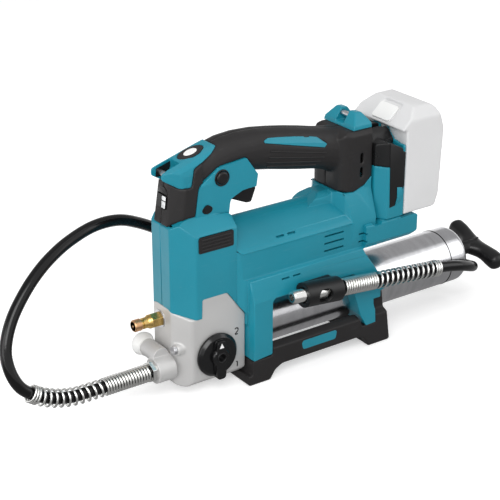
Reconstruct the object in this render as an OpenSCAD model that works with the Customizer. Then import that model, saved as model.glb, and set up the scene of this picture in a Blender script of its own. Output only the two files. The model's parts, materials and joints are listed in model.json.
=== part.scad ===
// Cordless grease gun: a moulded two-part housing over a grease barrel, with a cast pump body,
// a high-pressure hose that is clipped along the side, and a slide-on battery.
// Stations along X run from the nose at the front (negative) to the T-handle at the rear.
// The left side, with the dial and the hose coupler, faces -Y. Heights are above the floor.

/* [Barrel] */
// Outside diameter of the barrel tube
barrel_od = 57.5; // [54:0.5:60]
// Wall of the barrel tube
barrel_wall = 1.5; // [1:0.1:2.5]
// Height of the barrel axis
barrel_z = 50; // [48:0.5:52]
// Station of the seam between tube and end cap
barrel_end_x = 300; // [280:1:330]
// Length of the end cap
cap_len = 24; // [18:1:30]
// Diameter of the follower rod
rod_d = 8; // [6:0.5:10]

/* [Pump body] */
// Station of the nose flat
nose_x = -33; // [-38:0.5:-30]
// Station of the pump's rear face
pump_rear_x = 38.5; // [36:0.5:42]
// Width of the pump body
pump_w = 60; // [56:0.5:61]
// Width of the nose flat
nose_w = 30; // [24:0.5:36]
// Clearance of the pump body above the floor
pump_floor = 11; // [9:0.5:14]
// Top of the pump body
pump_top = 98.8; // [96:0.2:100]
// Depth of the socket for the barrel
socket_depth = 12; // [8:0.5:15]
// Diameter of the plunger
plunger_d = 10; // [8:0.5:12]
// Stroke of the plunger
plunger_stroke = 6; // [4:0.5:6.5]
// Diameter of the speed dial
dial_d = 43; // [36:0.5:46]
// How far the dial stands out
dial_h = 9.5; // [7:0.5:12]

/* [Housing] */
// Wall of the moulded housing
wall = 2.8; // [2:0.1:3.5]
// Height of the crest over the motor
crest_z = 158.5; // [156:0.5:161]
// Width across the shoulders of the body
shoulder_w = 68; // [66:0.5:70]
// Width across the skirt over the barrel
skirt_w = 84; // [82:0.5:88]
// Width of the front column
column_w = 62; // [61:0.5:64]
// Top of the window that shows the barrel
window_top = 84; // [82:0.5:86]
// Width of the trigger panels
panel_w = 38; // [36:0.5:40]

/* [Handle] */
// Width of the hand grip
grip_w = 36; // [32:0.5:38]
// Height of the hand grip's section
grip_h = 40; // [36:0.5:42]
// Width of the box behind the grip
rear_box_w = 50; // [46:0.5:54]
// Diameter of the strap bars
strap_bar_d = 5; // [4:0.5:6]

/* [Base] */
// Width of one rail
rail_w = 8; // [6:0.5:10]
// Ground clearance under the rails
rail_lift = 13; // [10:0.5:15]

/* [Battery] */
// Width of the battery
battery_w = 75; // [72:0.5:78]
// Height of the battery shelf's upper face
shelf_z = 129; // [127:0.5:131]
// Height of the battery's top over its uppermost cells
battery_roof = 11.4; // [10.4:0.1:14]
// Diameter of one cell
cell_d = 18; // [17:0.1:18.2]

/* [Drive] */
// Height of the motor axis
motor_z = 120; // [118.5:0.5:121]
// Outside diameter of the motor
motor_d = 50; // [46:0.5:52]
// Length of the motor case
motor_len = 42; // [36:1:46]
// Module of the gears
gear_m = 1; // [0.9:0.02:1.02]
// Play between meshing teeth
gear_slack = 0.32; // [0.25:0.01:0.4]
// Throw of the eccentric on the crank shaft
crank_throw = 5; // [3:0.25:5.5]

/* [Hose] */
// Outside diameter of the hose
hose_d = 11; // [9:0.5:11.5]
// Wire of the hose springs
coil_wire = 2.2; // [1.8:0.1:2.3]
// Mean diameter of the hose springs
coil_d = 15.2; // [15:0.1:17]
// Outside diameter of the grease coupler
coupler_d = 15; // [13:0.5:16]
// Bore of the coupler mouth, for a grease nipple
coupler_bore = 6.6; // [6:0.1:7.5]

/* [Fits] */
// Clearance of a running or sliding fit, on the radius
fit = 0.05; // [0.03:0.01:0.1]
// Gap beside pieces that move
gap = 0.4; // [0.3:0.05:0.6]

/* [Hidden] */
$fn = 48;

// Colours as the photo shows them
teal = "#1b8aa0";
dark = "#4a4647";
black = "#242326";
alloy = "#c9cacc";
steel = "#b4b7bb";
brass = "#b8923f";
pale = "#c6c7c8";
white = "#f2f2ef";

// Barrel, rod and follower
barrel_r = barrel_od / 2;
barrel_bore = barrel_r - barrel_wall;
socket_x = pump_rear_x - socket_depth;
cap_end_x = barrel_end_x + cap_len;
piston_x = pump_rear_x + 6;
piston_len = 12;
rod_x = piston_x + 2;
handle_x = cap_end_x + 37;
handle_r = 9;
handle_len = 78;
handle_turn = 15.5;
handle_rear_x = handle_x + handle_r;

// Pump body
pump_half = pump_w / 2;
shoulder_x = nose_x + 13;
lip_z = pump_top - 11;
lip_side_z = pump_top - 19;
lip_flat = nose_w / 2 - 4;
ear_x = nose_x + 24;
plunger_x = 0;
plunger_floor = 60;
inlet_z = 66;
gallery_x = -12;
gallery_r = 2.5;
outlet_y = -12;
outlet_z = 31;
outlet_r = 12.5;
outlet_x = nose_x - 18.5;
valve_x = nose_x - 9.5;
valve_z = outlet_z + 12;
valve_r = 8.5;
valve_y = 12;
bleeder_y = 4;
bleeder_z = 73;
bleeder_x = nose_x - 29;
bleeder_thread_r = 4;
dial_x = 6;
dial_z = 39;
spindle_r = 4;
spindle_in = 24;
corner_screw = [nose_x + 4, -20, 50];
corner_boss_r = 5.5;

// Housing
shoulder_z = 134;
ledge_z = 105;
ledge_w = 73;
band_dip = 1;
column_top = 173;
column_rear_x = 30;
leg_x = pump_rear_x + 1;
leg_rear_x = 62;
leg_floor = 25;
post_x = 160.7;
body_end_x = 191;
shelf_end_x = 241;
body_floor = window_top + wall;
motor_rib = 4;
screw_r = 1.5;
screw_head_r = 3;
screw_boss_r = 4.2;
// Station and height of each housing screw
housing_screws = [[-16, 140], [20, 160], [48, 211], [132, 92], [172, 152]];

// Trigger panels, and the controls that pass through them
panel_outline = [
    [-7.7, 168], [-2.3, 202.5, 8], [19.9, 217.1, 12], [48.5, 219.7, 3], [61.2, 201.6, 2],
    [59.9, 189.6], [44.6, 189.7, 10], [30.8, 183.9, 6], [28.8, 168]
];
lock_on_at = [21.6, 206.4];
lock_on_r = 6.2;
trigger_lock_at = [5.2, 180];
trigger_lock_r = 4;
trigger_pivot = [40, 190];
trigger_pin_r = 2;
trigger_half = 9;
button_reach = 2.5;

// Front strap cap: slope of its upper face, its lower edge and its side outline
cap_half = 17;
cap_slope = 16.5;
lamp_button_at = [0.3, 230.1];
lamp_button_size = [13, 9];
lamp_button_press = 1;
function cap_top(x) = lamp_button_at[1] + (x - lamp_button_at[0]) * tan(cap_slope);
cap_under = [[21.5, 233.5], [-6.4, 219.5, 4], [-9.5, 203.2, 2], [-21, 204, 6], [-30, 209.5, 4]];
cap_outline = concat(
    [[-36.5, 213.5, 4], [-35, 218.5, 3], [-29, cap_top(-29), 4], [19.5, cap_top(19.5), 2]], cap_under
);
strap_slot = [11.5, 16];
front_bar_at = [-26, 214.2];
slot_x = front_bar_at[0] + strap_slot[0] - 1;
slot_half = strap_slot[1] / 2;
lens_z = 190;
lens_size = [14, 12];

// Handle: stations and heights of the hand grip's centre line, the share of its full section, and its lean
grip_line = [
    [-2, 196, 0.88, -50], [11, 209.8, 0.95, -32], [22, 216, 0.98, -20], [34, 219.3, 0.98, -10],
    [48, 220.4, 0.98, 0], [66, 219.7, 0.98, 7], [84, 216.8, 1, 10], [102, 213.3, 1.02, 11.5],
    [120, 209.6, 1.02, 11.5], [136, 206.3, 1, 11], [148, 203.6, 1.02, 10], [155, 201.5, 1.07, 9],
    [161, 199.5, 1.13, 8]
];
post_top = 212;
post_lean = 8;
rear_box_x = 153.5;
rear_box_end = 192;
rear_box_top = 222;
rear_box_floor = 162;
rear_bar_at = [178, rear_box_top + 9.5];
rear_slot_half = 6;
board_half = rear_box_w / 2 - wall - 0.2;

// Base
base_half = skirt_w / 2;
base_outline = [
    [35, 0, 2], [60, 0, 2], [66, rail_lift - 4, 6], [74, rail_lift, 8], [168, rail_lift, 8],
    [175, rail_lift - 4, 6], [180, 0, 2], [207.5, 0, 2], [199.5, 58, 2], [192, 57.1], [183, 49], [183, 24],
    [172, 24], [167, 36, 3], [64, 36, 2], [62.3, 25], [39.5, 25], [39.5, pump_floor - 1], [35, pump_floor - 1]
];
rail_cut = [62, 180];

// Battery and its holder
holder_x = rear_box_end + 1;
holder_end = 222;
battery_x = holder_end + 1;
cell_rows = 5;
cell_pitch = cell_d + 0.1;
cell_x = battery_x + 5.2 + cell_d / 2;
cell_floor = shelf_z + 4.1;
battery_end = battery_x + 5.2 + 2 * cell_pitch + 5.6;
battery_top = cell_floor + cell_rows * cell_pitch + battery_roof;
battery_half = battery_w / 2;
cell_half = battery_half - wall - 2.2;
holder_top = battery_top - 21;
holder_split = holder_top - 31;
rail_y = [battery_half - 9.5, battery_half - 5.5];
rail_z = [shelf_z + 10, holder_top - 19];
rail_depth = 3;
contact_y = [-12, 0, 12];
button_slide = 4;
button_rise = [20, 17.5];
button_slope = atan2(button_rise[1], button_rise[0]);

// Drive: stations of the pieces along the motor axis
case_x = 44;
case_end = 72;
ring_x = [53, 69];
planet_x = [55, 67];
teeth = [12, 18, 48];
carrier_x = [46, 52];
cam_x = [-6, 6];
cam_r = 10;
shaft_r = 6;
crank_bearing_x = [30, 40];
crank_bearing_r = 13;
motor_x = case_end + 4;
motor_end = motor_x + motor_len;
rotor_shaft_r = 2.5;
motor_bearing_r = 8;
motor_bearing_len = 5;
planet_orbit = gear_m * (teeth[0] + teeth[1]) / 2;
planet_pin_r = 3;
ring_r = gear_m * teeth[2] / 2 + 4.4;
case_r = ring_r + 1.8;
tappet_z = motor_z - cam_r - crank_throw - gap;
tappet_h = 4;
tappet_r = plunger_d / 2 + 4;

// Hose holder and coupler: the coupler lies along a line that falls to the rear
coupler_tip = [76, -52, 86];
coupler_fall = 5.4;
coupler_len = 44;
ferrule_len = 14;
ferrule_d = 14;
coil_start = coupler_len + ferrule_len;
holder_len = 42;
holder_at = 13;
holder_r = coupler_d / 2 + 4.5;
coil_pitch = [2.9, 6.4];
front_coils = [16, 12];
rear_coils = [14, 13];
nut_len = 5;
nut_x = outlet_x - nut_len;
front_bend_x = -125;
front_bend_r = 85;
// Hand-chosen route of the hose between the front nut and the coupler's ferrule, round the far side
hose_route = [
    [-72, -12, 31], [-88, -12, 31], [-104, -12, 31], [-118, -12, 31], [-133.5, -12, 31.4], [-142, -12, 32.7],
    [-150, -12, 34.8], [-158, -12, 37.7], [-166, -12, 41.5], [-173, -12, 45.9], [-178.6, -12, 50.1],
    [-184.6, -11.6, 56.2], [-189.2, -10, 64.6], [-191.8, -6.5, 75], [-191.6, -2, 87], [-187.2, 2.5, 99.5],
    [-178.8, 7.5, 113], [-167, 12.5, 126], [-151.5, 18, 139.2], [-132.5, 24, 150.6], [-108.5, 31, 159.4],
    [-80, 37, 164.9], [-51, 43, 162], [-25, 48, 151], [2, 51, 135.5], [35, 52, 117], [75, 52, 98.5],
    [120, 52, 82], [165, 52, 67], [210, 52, 54], [252, 52, 43], [286, 50, 36], [311, 42, 33], [330, 24, 33],
    [337, -1, 35], [330.5, -26.5, 42.5], [312.5, -43.5, 53], [291, -51, 62], [268, -52, 67.4],
    [240, -52, 70.5], [200, -52, 74.3], [160, -52, 78.1]
];

// Origin: below the middle of the gun's box, hose left out
mid_x = (bleeder_x + handle_rear_x) / 2;
mid_y = (coupler_tip.y - holder_r + base_half) / 2;
module place() {
    translate([-mid_x, -mid_y, 0]) children();
}

// Outline of [x, y, radius] corners as points, with each rounded corner as an arc
function unit(v) = v / norm(v);
function corner_arc(a, b, c, r, steps = 4) =
    let (
        u = unit(a - b), w = unit(c - b), half = acos(u * w) / 2,
        mid = b + unit(u + w) * r / sin(half), p = b + u * r / tan(half), q = b + w * r / tan(half),
        start = atan2(p.y - mid.y, p.x - mid.x),
        turn = ((atan2(q.y - mid.y, q.x - mid.x) - start + 540) % 360) - 180
    )
    [for (i = [0 : steps]) mid + r * [cos(start + turn * i / steps), sin(start + turn * i / steps)]];
function flat_point(p) = [p[0], p[1]];
function rounded(p) =
    let (n = len(p))
    [for (i = [0 : n - 1])
        each p[i][2] == undef
            ? [flat_point(p[i])]
            : corner_arc(flat_point(p[(i + n - 1) % n]), flat_point(p[i]), flat_point(p[(i + 1) % n]),
                p[i][2])];

// Extrusions of a flat outline along each axis, between two stations
module along_x(x0, x1) {
    translate([x0, 0, 0]) rotate([90, 0, 90]) linear_extrude(x1 - x0) children();
}
module along_y(y0, y1) {
    translate([0, y1, 0]) rotate([90, 0, 0]) linear_extrude(y1 - y0) children();
}
module along_z(z0, z1) {
    translate([0, 0, z0]) linear_extrude(z1 - z0) children();
}
module block(low, high) {
    translate(low) cube(high - low);
}
module rod_x(x0, x1, r, y = 0, z = barrel_z) {
    translate([x0, y, z]) rotate([0, 90, 0]) cylinder(h = x1 - x0, r = r);
}
module rod_y(y0, y1, r, x, z) {
    translate([x, y1, z]) rotate([90, 0, 0]) cylinder(h = y1 - y0, r = r);
}
module tube_x(x0, x1, r, bore, z) {
    difference() {
        rod_x(x0, x1, r, 0, z);
        rod_x(x0 - 1, x1 + 1, bore, 0, z);
    }
}
module both_sides() {
    children();
    mirror([0, 1, 0]) children();
}
module left_half() {
    intersection() {
        children();
        block([-400, -200, -1], [400, 0, 300]);
    }
}
module right_half() {
    intersection() {
        children();
        block([-400, 0, -1], [400, 200, 300]);
    }
}

// Tube of one wire along a list of points: each ring lies across the run between its neighbours
function tangents(p) =
    [for (i = [0 : len(p) - 1]) unit(p[min(i + 1, len(p) - 1)] - p[max(i - 1, 0)])];
function ring_points(p, t, r, sides, up) =
    let (u = unit(cross(t, up)), v = cross(u, t))
    [for (k = [0 : sides - 1]) p + r * (cos(360 * k / sides) * u + sin(360 * k / sides) * v)];
module lofted(rings) {
    n = len(rings);
    sides = len(rings[0]);
    skin = [for (i = [0 : n - 2], k = [0 : sides - 1])
        let (a = i * sides + k, b = i * sides + (k + 1) % sides)
        each [[a, b, a + sides], [b, b + sides, a + sides]]];
    lids = [for (k = [1 : sides - 2])
        each [[0, k + 1, k], [(n - 1) * sides, (n - 1) * sides + k, (n - 1) * sides + k + 1]]];
    polyhedron([for (ring = rings) each ring], concat(skin, lids));
}
module swept_wire(p, r, sides, up) {
    t = tangents(p);
    lofted([for (i = [0 : len(p) - 1]) ring_points(p[i], t[i], r, sides, up)]);
}

// Involute gear outline: module, tooth count, addendum and dedendum in modules, and play
function spread(r, base) = let (a = acos(min(1, base / r))) tan(a) * 180 / PI - a;
function polar(r, a) = r * [cos(a), sin(a)];
function gear_outline(m, n, tip, root, slack) =
    let (
        pitch = m * n / 2, base = pitch * cos(20), low = max(base, pitch - root * m), high = pitch + tip * m,
        half = 90 / n - slack / pitch * 45 / PI + spread(pitch, base),
        radii = [for (i = [0 : 4]) low + (high - low) * i / 4],
        flank = concat([[pitch - root * m, half - spread(low, base)]],
            [for (r = radii) [r, half - spread(r, base)]]),
        last = len(flank) - 1
    )
    [for (i = [0 : n - 1], k = [0 : 2 * last + 1])
        let (f = k <= last ? flank[k] : flank[2 * last + 1 - k])
        polar(f[0], 360 * i / n + (k <= last ? -f[1] : f[1]))];

// Side form of the pump body across any width, and its solid block before the bores
module pump_sweep(half) {
    side = rounded([
        [nose_x, pump_floor, 6], [nose_x, lip_z], [ear_x, lip_z], [ear_x, pump_top, 2],
        [pump_rear_x - 20, pump_top, 2], [pump_rear_x, pump_top - 27, 2], [pump_rear_x, pump_floor, 6]
    ]);
    difference() {
        along_y(-half, half) polygon(side);
        both_sides() along_x(nose_x - 1, ear_x)
            polygon([[lip_flat, lip_z], [pump_half, lip_side_z], [half + 1, lip_side_z], [half + 1, lip_z + 1],
                [lip_flat, lip_z + 1]]);
    }
}
module pump_block() {
    plan = rounded([
        [nose_x, -nose_w / 2, 4], [nose_x, nose_w / 2, 4], [shoulder_x, pump_half, 6],
        [pump_rear_x, pump_half], [pump_rear_x, -pump_half], [shoulder_x, -pump_half, 6]
    ]);
    across = rounded([
        [-pump_half + 5, pump_floor], [-pump_half, pump_floor + 5], [-pump_half, pump_top, 1.5],
        [pump_half, pump_top, 1.5], [pump_half, pump_floor + 5], [pump_half - 5, pump_floor]
    ]);
    intersection() {
        pump_sweep(pump_half + 1);
        along_z(pump_floor - 1, pump_top + 1) polygon(plan);
        along_x(nose_x - 1, pump_rear_x + 1) polygon(across);
    }
}
module pump_body() {
    color(alloy) difference() {
        union() {
            pump_block();
            rod_x(corner_screw.x - 3, corner_screw.x + 12, corner_boss_r, corner_screw.y, corner_screw.z);
        }
        rod_x(socket_x, pump_rear_x + 1, barrel_r + fit);
        translate([plunger_x, 0, plunger_floor]) cylinder(h = pump_top, r = plunger_d / 2 + fit);
        translate([plunger_x, 0, tappet_z - tappet_h - plunger_stroke - gap])
            cylinder(h = pump_top, r = tappet_r + gap);
        rod_x(plunger_x, socket_x + 1, 5, 0, inlet_z);
        rod_x(gallery_x, plunger_x, gallery_r, 0, inlet_z);
        translate([gallery_x, 0, outlet_z]) cylinder(h = inlet_z - outlet_z, r = gallery_r);
        rod_y(outlet_y, 0, gallery_r, gallery_x, outlet_z);
        rod_x(nose_x - 1, gallery_x, gallery_r, outlet_y, outlet_z);
        rod_x(nose_x - 1, nose_x + 12, bleeder_thread_r + fit, bleeder_y, bleeder_z);
        rod_y(-pump_half - 1, -pump_half + spindle_in + gap, spindle_r + fit, dial_x, dial_z);
        rod_x(corner_screw.x - 4, corner_screw.x + 8, screw_r + 1 + fit, corner_screw.y, corner_screw.z);
    }
}
module outlet_elbow() {
    color(alloy) difference() {
        union() {
            rod_x(outlet_x, nose_x, outlet_r, outlet_y, outlet_z);
            rod_y(outlet_y, valve_y, valve_r, valve_x, valve_z);
        }
        rod_x(outlet_x - 1, nose_x + 1, gallery_r, outlet_y, outlet_z);
        rod_x(outlet_x + 5, nose_x + 1, 4, outlet_y, outlet_z);
    }
}
module check_ball() {
    color(steel) translate([outlet_x + 5 + 3.4, outlet_y, outlet_z]) sphere(r = 3.2);
}
module elbow_cap() {
    color(white) translate([valve_x, valve_y, valve_z]) rotate([-90, 0, 0]) rotate_extrude()
        polygon(concat([[0, 0], [valve_r + 0.8, 0], [valve_r + 0.8, 3.5]],
            [for (a = [0 : 15 : 90]) [(valve_r + 3) * cos(a), 8 + 9 * sin(a)]]));
}
module bleeder_valve() {
    hex_r = 7.5;
    color(brass) difference() {
        union() {
            rod_x(nose_x - 1, nose_x + 11, bleeder_thread_r, bleeder_y, bleeder_z);
            translate([nose_x - 11, bleeder_y, bleeder_z]) rotate([0, 90, 0])
                cylinder(h = 11, r = hex_r, $fn = 6);
            translate([nose_x, bleeder_y, bleeder_z]) rotate([0, -90, 0]) rotate_extrude()
                polygon([[0, 10], [6.5, 10], [6.5, 12.5], [5.2, 15], [5.2, 19.5], [4.4, 20], [4.4, 21.5],
                    [5.6, 22], [5.6, nose_x - bleeder_x - 1], [4.6, nose_x - bleeder_x],
                    [0, nose_x - bleeder_x]]);
        }
        rod_x(bleeder_x - 1, nose_x + 12, 1, bleeder_y, bleeder_z);
    }
}
module selector_spindle() {
    color(steel) rod_y(-pump_half - 1, -pump_half + spindle_in, spindle_r, dial_x, dial_z);
}
module speed_dial() {
    face_y = -pump_half - gap;
    top_y = face_y - dial_h;
    color(black) difference() {
        union() {
            translate([dial_x, face_y, dial_z]) rotate([90, 0, 0]) rotate_extrude()
                polygon([[0, 0], [dial_d / 2, 0], [dial_d / 2, 2.5], [dial_d / 2 - 3, dial_h - 4],
                    [9, dial_h - 4], [9, dial_h - 1], [8, dial_h], [0, dial_h]]);
            along_y(top_y, face_y - 2) polygon(rounded([
                [dial_x - 4.5, dial_z - dial_d / 2 - 1, 3], [dial_x + 4.5, dial_z - dial_d / 2 - 1, 3],
                [dial_x + 6, dial_z, 3], [dial_x + 4.5, dial_z + dial_d / 2 - 5, 3],
                [dial_x - 4.5, dial_z + dial_d / 2 - 5, 3], [dial_x - 6, dial_z, 3]]));
        }
        rod_y(-pump_half - 1, face_y + 1, spindle_r + fit, dial_x, dial_z);
        rod_y(top_y - 1, top_y + 3, 3.6, dial_x, dial_z);
    }
}
module pump_plunger() {
    color(steel) {
        translate([plunger_x, 0, plunger_floor + 12])
            cylinder(h = tappet_z - plunger_floor - 12, r = plunger_d / 2);
        translate([plunger_x, 0, tappet_z - tappet_h]) cylinder(h = tappet_h, r = tappet_r);
    }
}

// Barrel with its end cap, and the follower inside
module barrel_tube() {
    color(steel) tube_x(socket_x, barrel_end_x, barrel_r, barrel_bore, barrel_z);
}
module barrel_cap() {
    edge = 7;
    inner = barrel_r - 3;
    color(steel) translate([barrel_end_x, 0, barrel_z]) rotate([0, 90, 0]) rotate_extrude()
        polygon(concat(
            [[barrel_bore - fit, -10], [barrel_bore - fit, 0.3], [barrel_r, 0.3]],
            [for (a = [0 : 15 : 90]) [barrel_r - edge + edge * cos(a), cap_len - edge + edge * sin(a)]],
            [[rod_d / 2 + fit, cap_len], [rod_d / 2 + fit, cap_len - 6], [inner - 2, cap_len - 6],
            [inner - 2, -10]]));
}
module follower_rod() {
    color(steel) rod_x(rod_x, handle_x - 2, rod_d / 2);
}
module rod_handle() {
    flare = handle_len / 2;
    color(black) translate([handle_x, 0, barrel_z]) rotate([handle_turn, 0, 0]) difference() {
        union() {
            translate([0, -flare, 0]) rotate([-90, 0, 0]) rotate_extrude()
                polygon(concat(
                    [[0, 0], [handle_r - 3, 0], [handle_r, 4]],
                    [for (y = [-24 : 8 : 24]) [handle_r - 2 * cos(y * 3.6), flare + y]],
                    [[handle_r, handle_len - 4], [handle_r - 3, handle_len], [0, handle_len]]));
            rod_x(-22, 0, 7, 0, 0);
            along_x(-10, 4) polygon(rounded([[-20, -5, 3], [20, -5, 3], [20, 5, 3], [-20, 5, 3]]));
        }
        rod_x(-30, -1, rod_d / 2 + fit, 0, 0);
    }
}
module follower_piston() {
    color(dark) difference() {
        tube_x(piston_x, piston_x + piston_len, barrel_bore - 0.5, rod_d / 2 + fit, barrel_z);
        tube_x(piston_x + 3, piston_x + 8, barrel_bore, barrel_bore - 4, barrel_z);
    }
}
module follower_seal() {
    color(black)
        tube_x(piston_x + 3 + fit, piston_x + 8 - fit, barrel_bore - fit, barrel_bore - 4 + fit, barrel_z);
}

// Coil of one wire: turns at each pitch in turn, round an axis that a function of length gives
function turn_length(counts, pitches, t) =
    t <= counts[0] ? t * pitches[0] : counts[0] * pitches[0] + (t - counts[0]) * pitches[1];
function coil_steps(counts) = [for (i = [0 : 8 * (counts[0] + counts[1])]) i / 8];
function coil_gap(p, wire) =
    min([for (i = [0 : len(p) - 9]) norm(p[i + 8] - p[i])]) - wire;
function front_axis(s) =
    let (run = nut_x - front_bend_x)
    s <= run
        ? [[nut_x - s, outlet_y, outlet_z], [0, 0, 1]]
        : let (a = (s - run) / front_bend_r * 180 / PI)
            [[front_bend_x - front_bend_r * sin(a), outlet_y, outlet_z + front_bend_r * (1 - cos(a))],
            [sin(a), 0, cos(a)]];
function front_coil() =
    [for (t = coil_steps(front_coils))
        let (f = front_axis(2 + turn_length(front_coils, coil_pitch, t)))
        f[0] + coil_d / 2 * (cos(360 * t) * f[1] + sin(360 * t) * [0, 1, 0])];
function fall_point(s) = coupler_tip + s * [cos(coupler_fall), 0, -sin(coupler_fall)];
function rear_coil() =
    [for (t = coil_steps(rear_coils))
        fall_point(coil_start + 2 + turn_length(rear_coils, coil_pitch, t))
            + coil_d / 2 * cos(360 * t) * [sin(coupler_fall), 0, cos(coupler_fall)]
            + coil_d / 2 * sin(360 * t) * [0, 1, 0]];
follower_turns = 16;
follower_wire = 2.4;
follower_coil_r = barrel_bore - 4.5;
follower_coil_x = piston_x + piston_len + follower_wire / 2 + 0.3;
follower_coil_end = barrel_end_x - 10 - follower_wire / 2 - 0.3;
function follower_coil() =
    [for (t = coil_steps([0, follower_turns]))
        [follower_coil_x + (follower_coil_end - follower_coil_x) * t / follower_turns,
            follower_coil_r * cos(360 * t), barrel_z + follower_coil_r * sin(360 * t)]];
module follower_spring() {
    color(steel) swept_wire(follower_coil(), follower_wire / 2, 6, [1, 0, 0]);
}
module hose_spring_front() {
    color(steel) swept_wire(front_coil(), coil_wire / 2, 6, [1, 0, 0]);
}
module hose_spring_rear() {
    color(steel) swept_wire(rear_coil(), coil_wire / 2, 6, [1, 0, 0]);
}
echo(front_spring_gap = coil_gap(front_coil(), coil_wire));
echo(rear_spring_gap = coil_gap(rear_coil(), coil_wire));
echo(follower_spring_gap = coil_gap(follower_coil(), follower_wire));

// Hose: rings on the route's points and halfway between them on a smooth curve
function halfway(a, b, c, d) = (9 * (b + c) - a - d) / 16;
function hose_rings() =
    let (
        path = concat([[nut_x, outlet_y, outlet_z]], hose_route, [fall_point(coil_start)]),
        n = len(path) - 1
    )
    [for (i = [0 : n])
        each i == n
            ? [path[n]]
            : [path[i], halfway(path[max(i - 1, 0)], path[i], path[i + 1], path[min(i + 2, n)])]];
module hose() {
    color(black) swept_wire(hose_rings(), hose_d / 2, 10, [0.15, 0.1, 1]);
}
module hose_nut() {
    color(steel) difference() {
        union() {
            translate([nut_x, outlet_y, outlet_z]) rotate([0, 90, 0])
                cylinder(h = nut_len - 1, r = 10.5, $fn = 6);
            rod_x(outlet_x - 1, outlet_x, 8.5, outlet_y, outlet_z);
        }
        rod_x(nut_x - 1, outlet_x + 1, gallery_r, outlet_y, outlet_z);
    }
}
module along_coupler(s) {
    translate(coupler_tip) rotate([0, 90 + coupler_fall, 0]) translate([0, 0, s]) children();
}
module hose_ferrule() {
    color(steel) along_coupler(coupler_len) cylinder(h = ferrule_len, r = ferrule_d / 2);
}
module grease_coupler() {
    r = coupler_d / 2;
    color(steel) along_coupler(0) difference() {
        rotate_extrude() polygon([[0, 0], [r - 2.5, 0], [r - 1.2, 3], [r - 1.2, 20], [r, 21],
            [r, coupler_len - 6],
            [r - 1.5, coupler_len - 5], [r - 1.5, coupler_len], [0, coupler_len]]);
        translate([0, 0, -1]) cylinder(h = 13, r = coupler_bore / 2);
        translate([0, 0, -1]) cylinder(h = coupler_len, r = 1.5);
    }
}
// Sleeve on the housing's skirt that grips the coupler, with an oval window in its outer wall
module hose_holder() {
    along = holder_at + holder_len / 2;
    mid = fall_point(along);
    color(black) difference() {
        union() {
            along_coupler(holder_at) cylinder(h = holder_len, r = holder_r);
            block([mid.x - holder_len / 2 + 3, mid.y, mid.z - 2],
                [mid.x + holder_len / 2 - 3, -skirt_w / 2 + 3, mid.z + 9]);
        }
        along_coupler(holder_at - 20) cylinder(h = holder_len + 40, r = coupler_d / 2 + fit);
        for (s = [-3, 0]) translate(fall_point(along + s)) rotate([90, 0, 0]) cylinder(h = 30, r = 6.5);
        housing_outer();
    }
}

// Housing: outer form, hollow and the two halves
function crest_line(half, top) =
    [for (t = [0 : 0.1 : 1]) [half * t, shoulder_z + (top - shoulder_z) * (1 - pow(t, 1.35))]];
function body_side() =
    concat(
        crest_line(shoulder_w / 2, crest_z),
        [[shoulder_w / 2 - band_dip, shoulder_z - 1.5], [shoulder_w / 2 - band_dip, ledge_z + 2],
        [ledge_w / 2, ledge_z], [skirt_w / 2 - 3, ledge_z - 9], [skirt_w / 2, window_top], [skirt_w / 2, 0]]);
function mirrored(side) =
    concat(side, [for (i = [len(side) - 1 : -1 : 0]) if (side[i].x > 0.001) [-side[i].x, side[i].y]]);
function mirrored_plan(side) =
    concat(side, [for (i = [len(side) - 1 : -1 : 0]) if (side[i].y > 0.001) [side[i].x, -side[i].y]]);
module body_form() {
    side = rounded([
        [leg_x, leg_floor, 2], [leg_rear_x, leg_floor + 2, 2], [leg_rear_x, window_top, 4],
        [post_x, window_top, 3], [post_x, 61, 4], [168.6, 37, 4], [176, leg_floor - 1, 2],
        [188.5, leg_floor - 1], [187.5, 38], [184.5, 45.5, 2], [184.5, 50], [193.5, 50.5], [193.5, 57.2],
        [199.5, 58.4], [195, 70, 3], [177, 98, 3], [174, ledge_z],
        [body_end_x, ledge_z], [body_end_x, crest_z + 1], [column_rear_x - 2, crest_z + 1],
        [column_rear_x - 2, 60], [leg_x, 60]
    ]);
    plan = mirrored_plan([[column_rear_x - 2, column_w / 2 - 1], [column_rear_x + 6, shoulder_w / 2],
        [leg_x, shoulder_w / 2 + 1], [leg_x + 2, skirt_w / 2 + 1], [220, skirt_w / 2 + 1]]);
    intersection() {
        along_x(column_rear_x - 3, 210) polygon(mirrored(body_side()));
        along_y(-skirt_w, skirt_w) polygon(side);
        along_z(0, 200) polygon(plan);
    }
}
module column_form() {
    plan = mirrored_plan(rounded([[nose_x, 0], [nose_x, nose_w / 2, 3], [nose_x + 18, column_w / 2, 4],
        [column_rear_x, column_w / 2, 2], [column_rear_x, 0]]));
    side = rounded([[nose_x, 60], [nose_x, 168], [-21.6, 174], [-8.9, 176, 3],
        [column_rear_x - 1, column_top - 1, 4],
        [column_rear_x, 158], [column_rear_x, 60]]);
    across = mirrored([[nose_w / 2 + 1, column_top + 4], [20, column_top], [column_w / 2 - 2, 163],
        [column_w / 2, 160], [column_w / 2, 60]]);
    intersection() {
        along_z(60, column_top + 5) polygon(plan);
        along_y(-column_w, column_w) polygon(side);
        along_x(nose_x - 1, column_rear_x + 1) polygon(across);
    }
}
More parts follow.
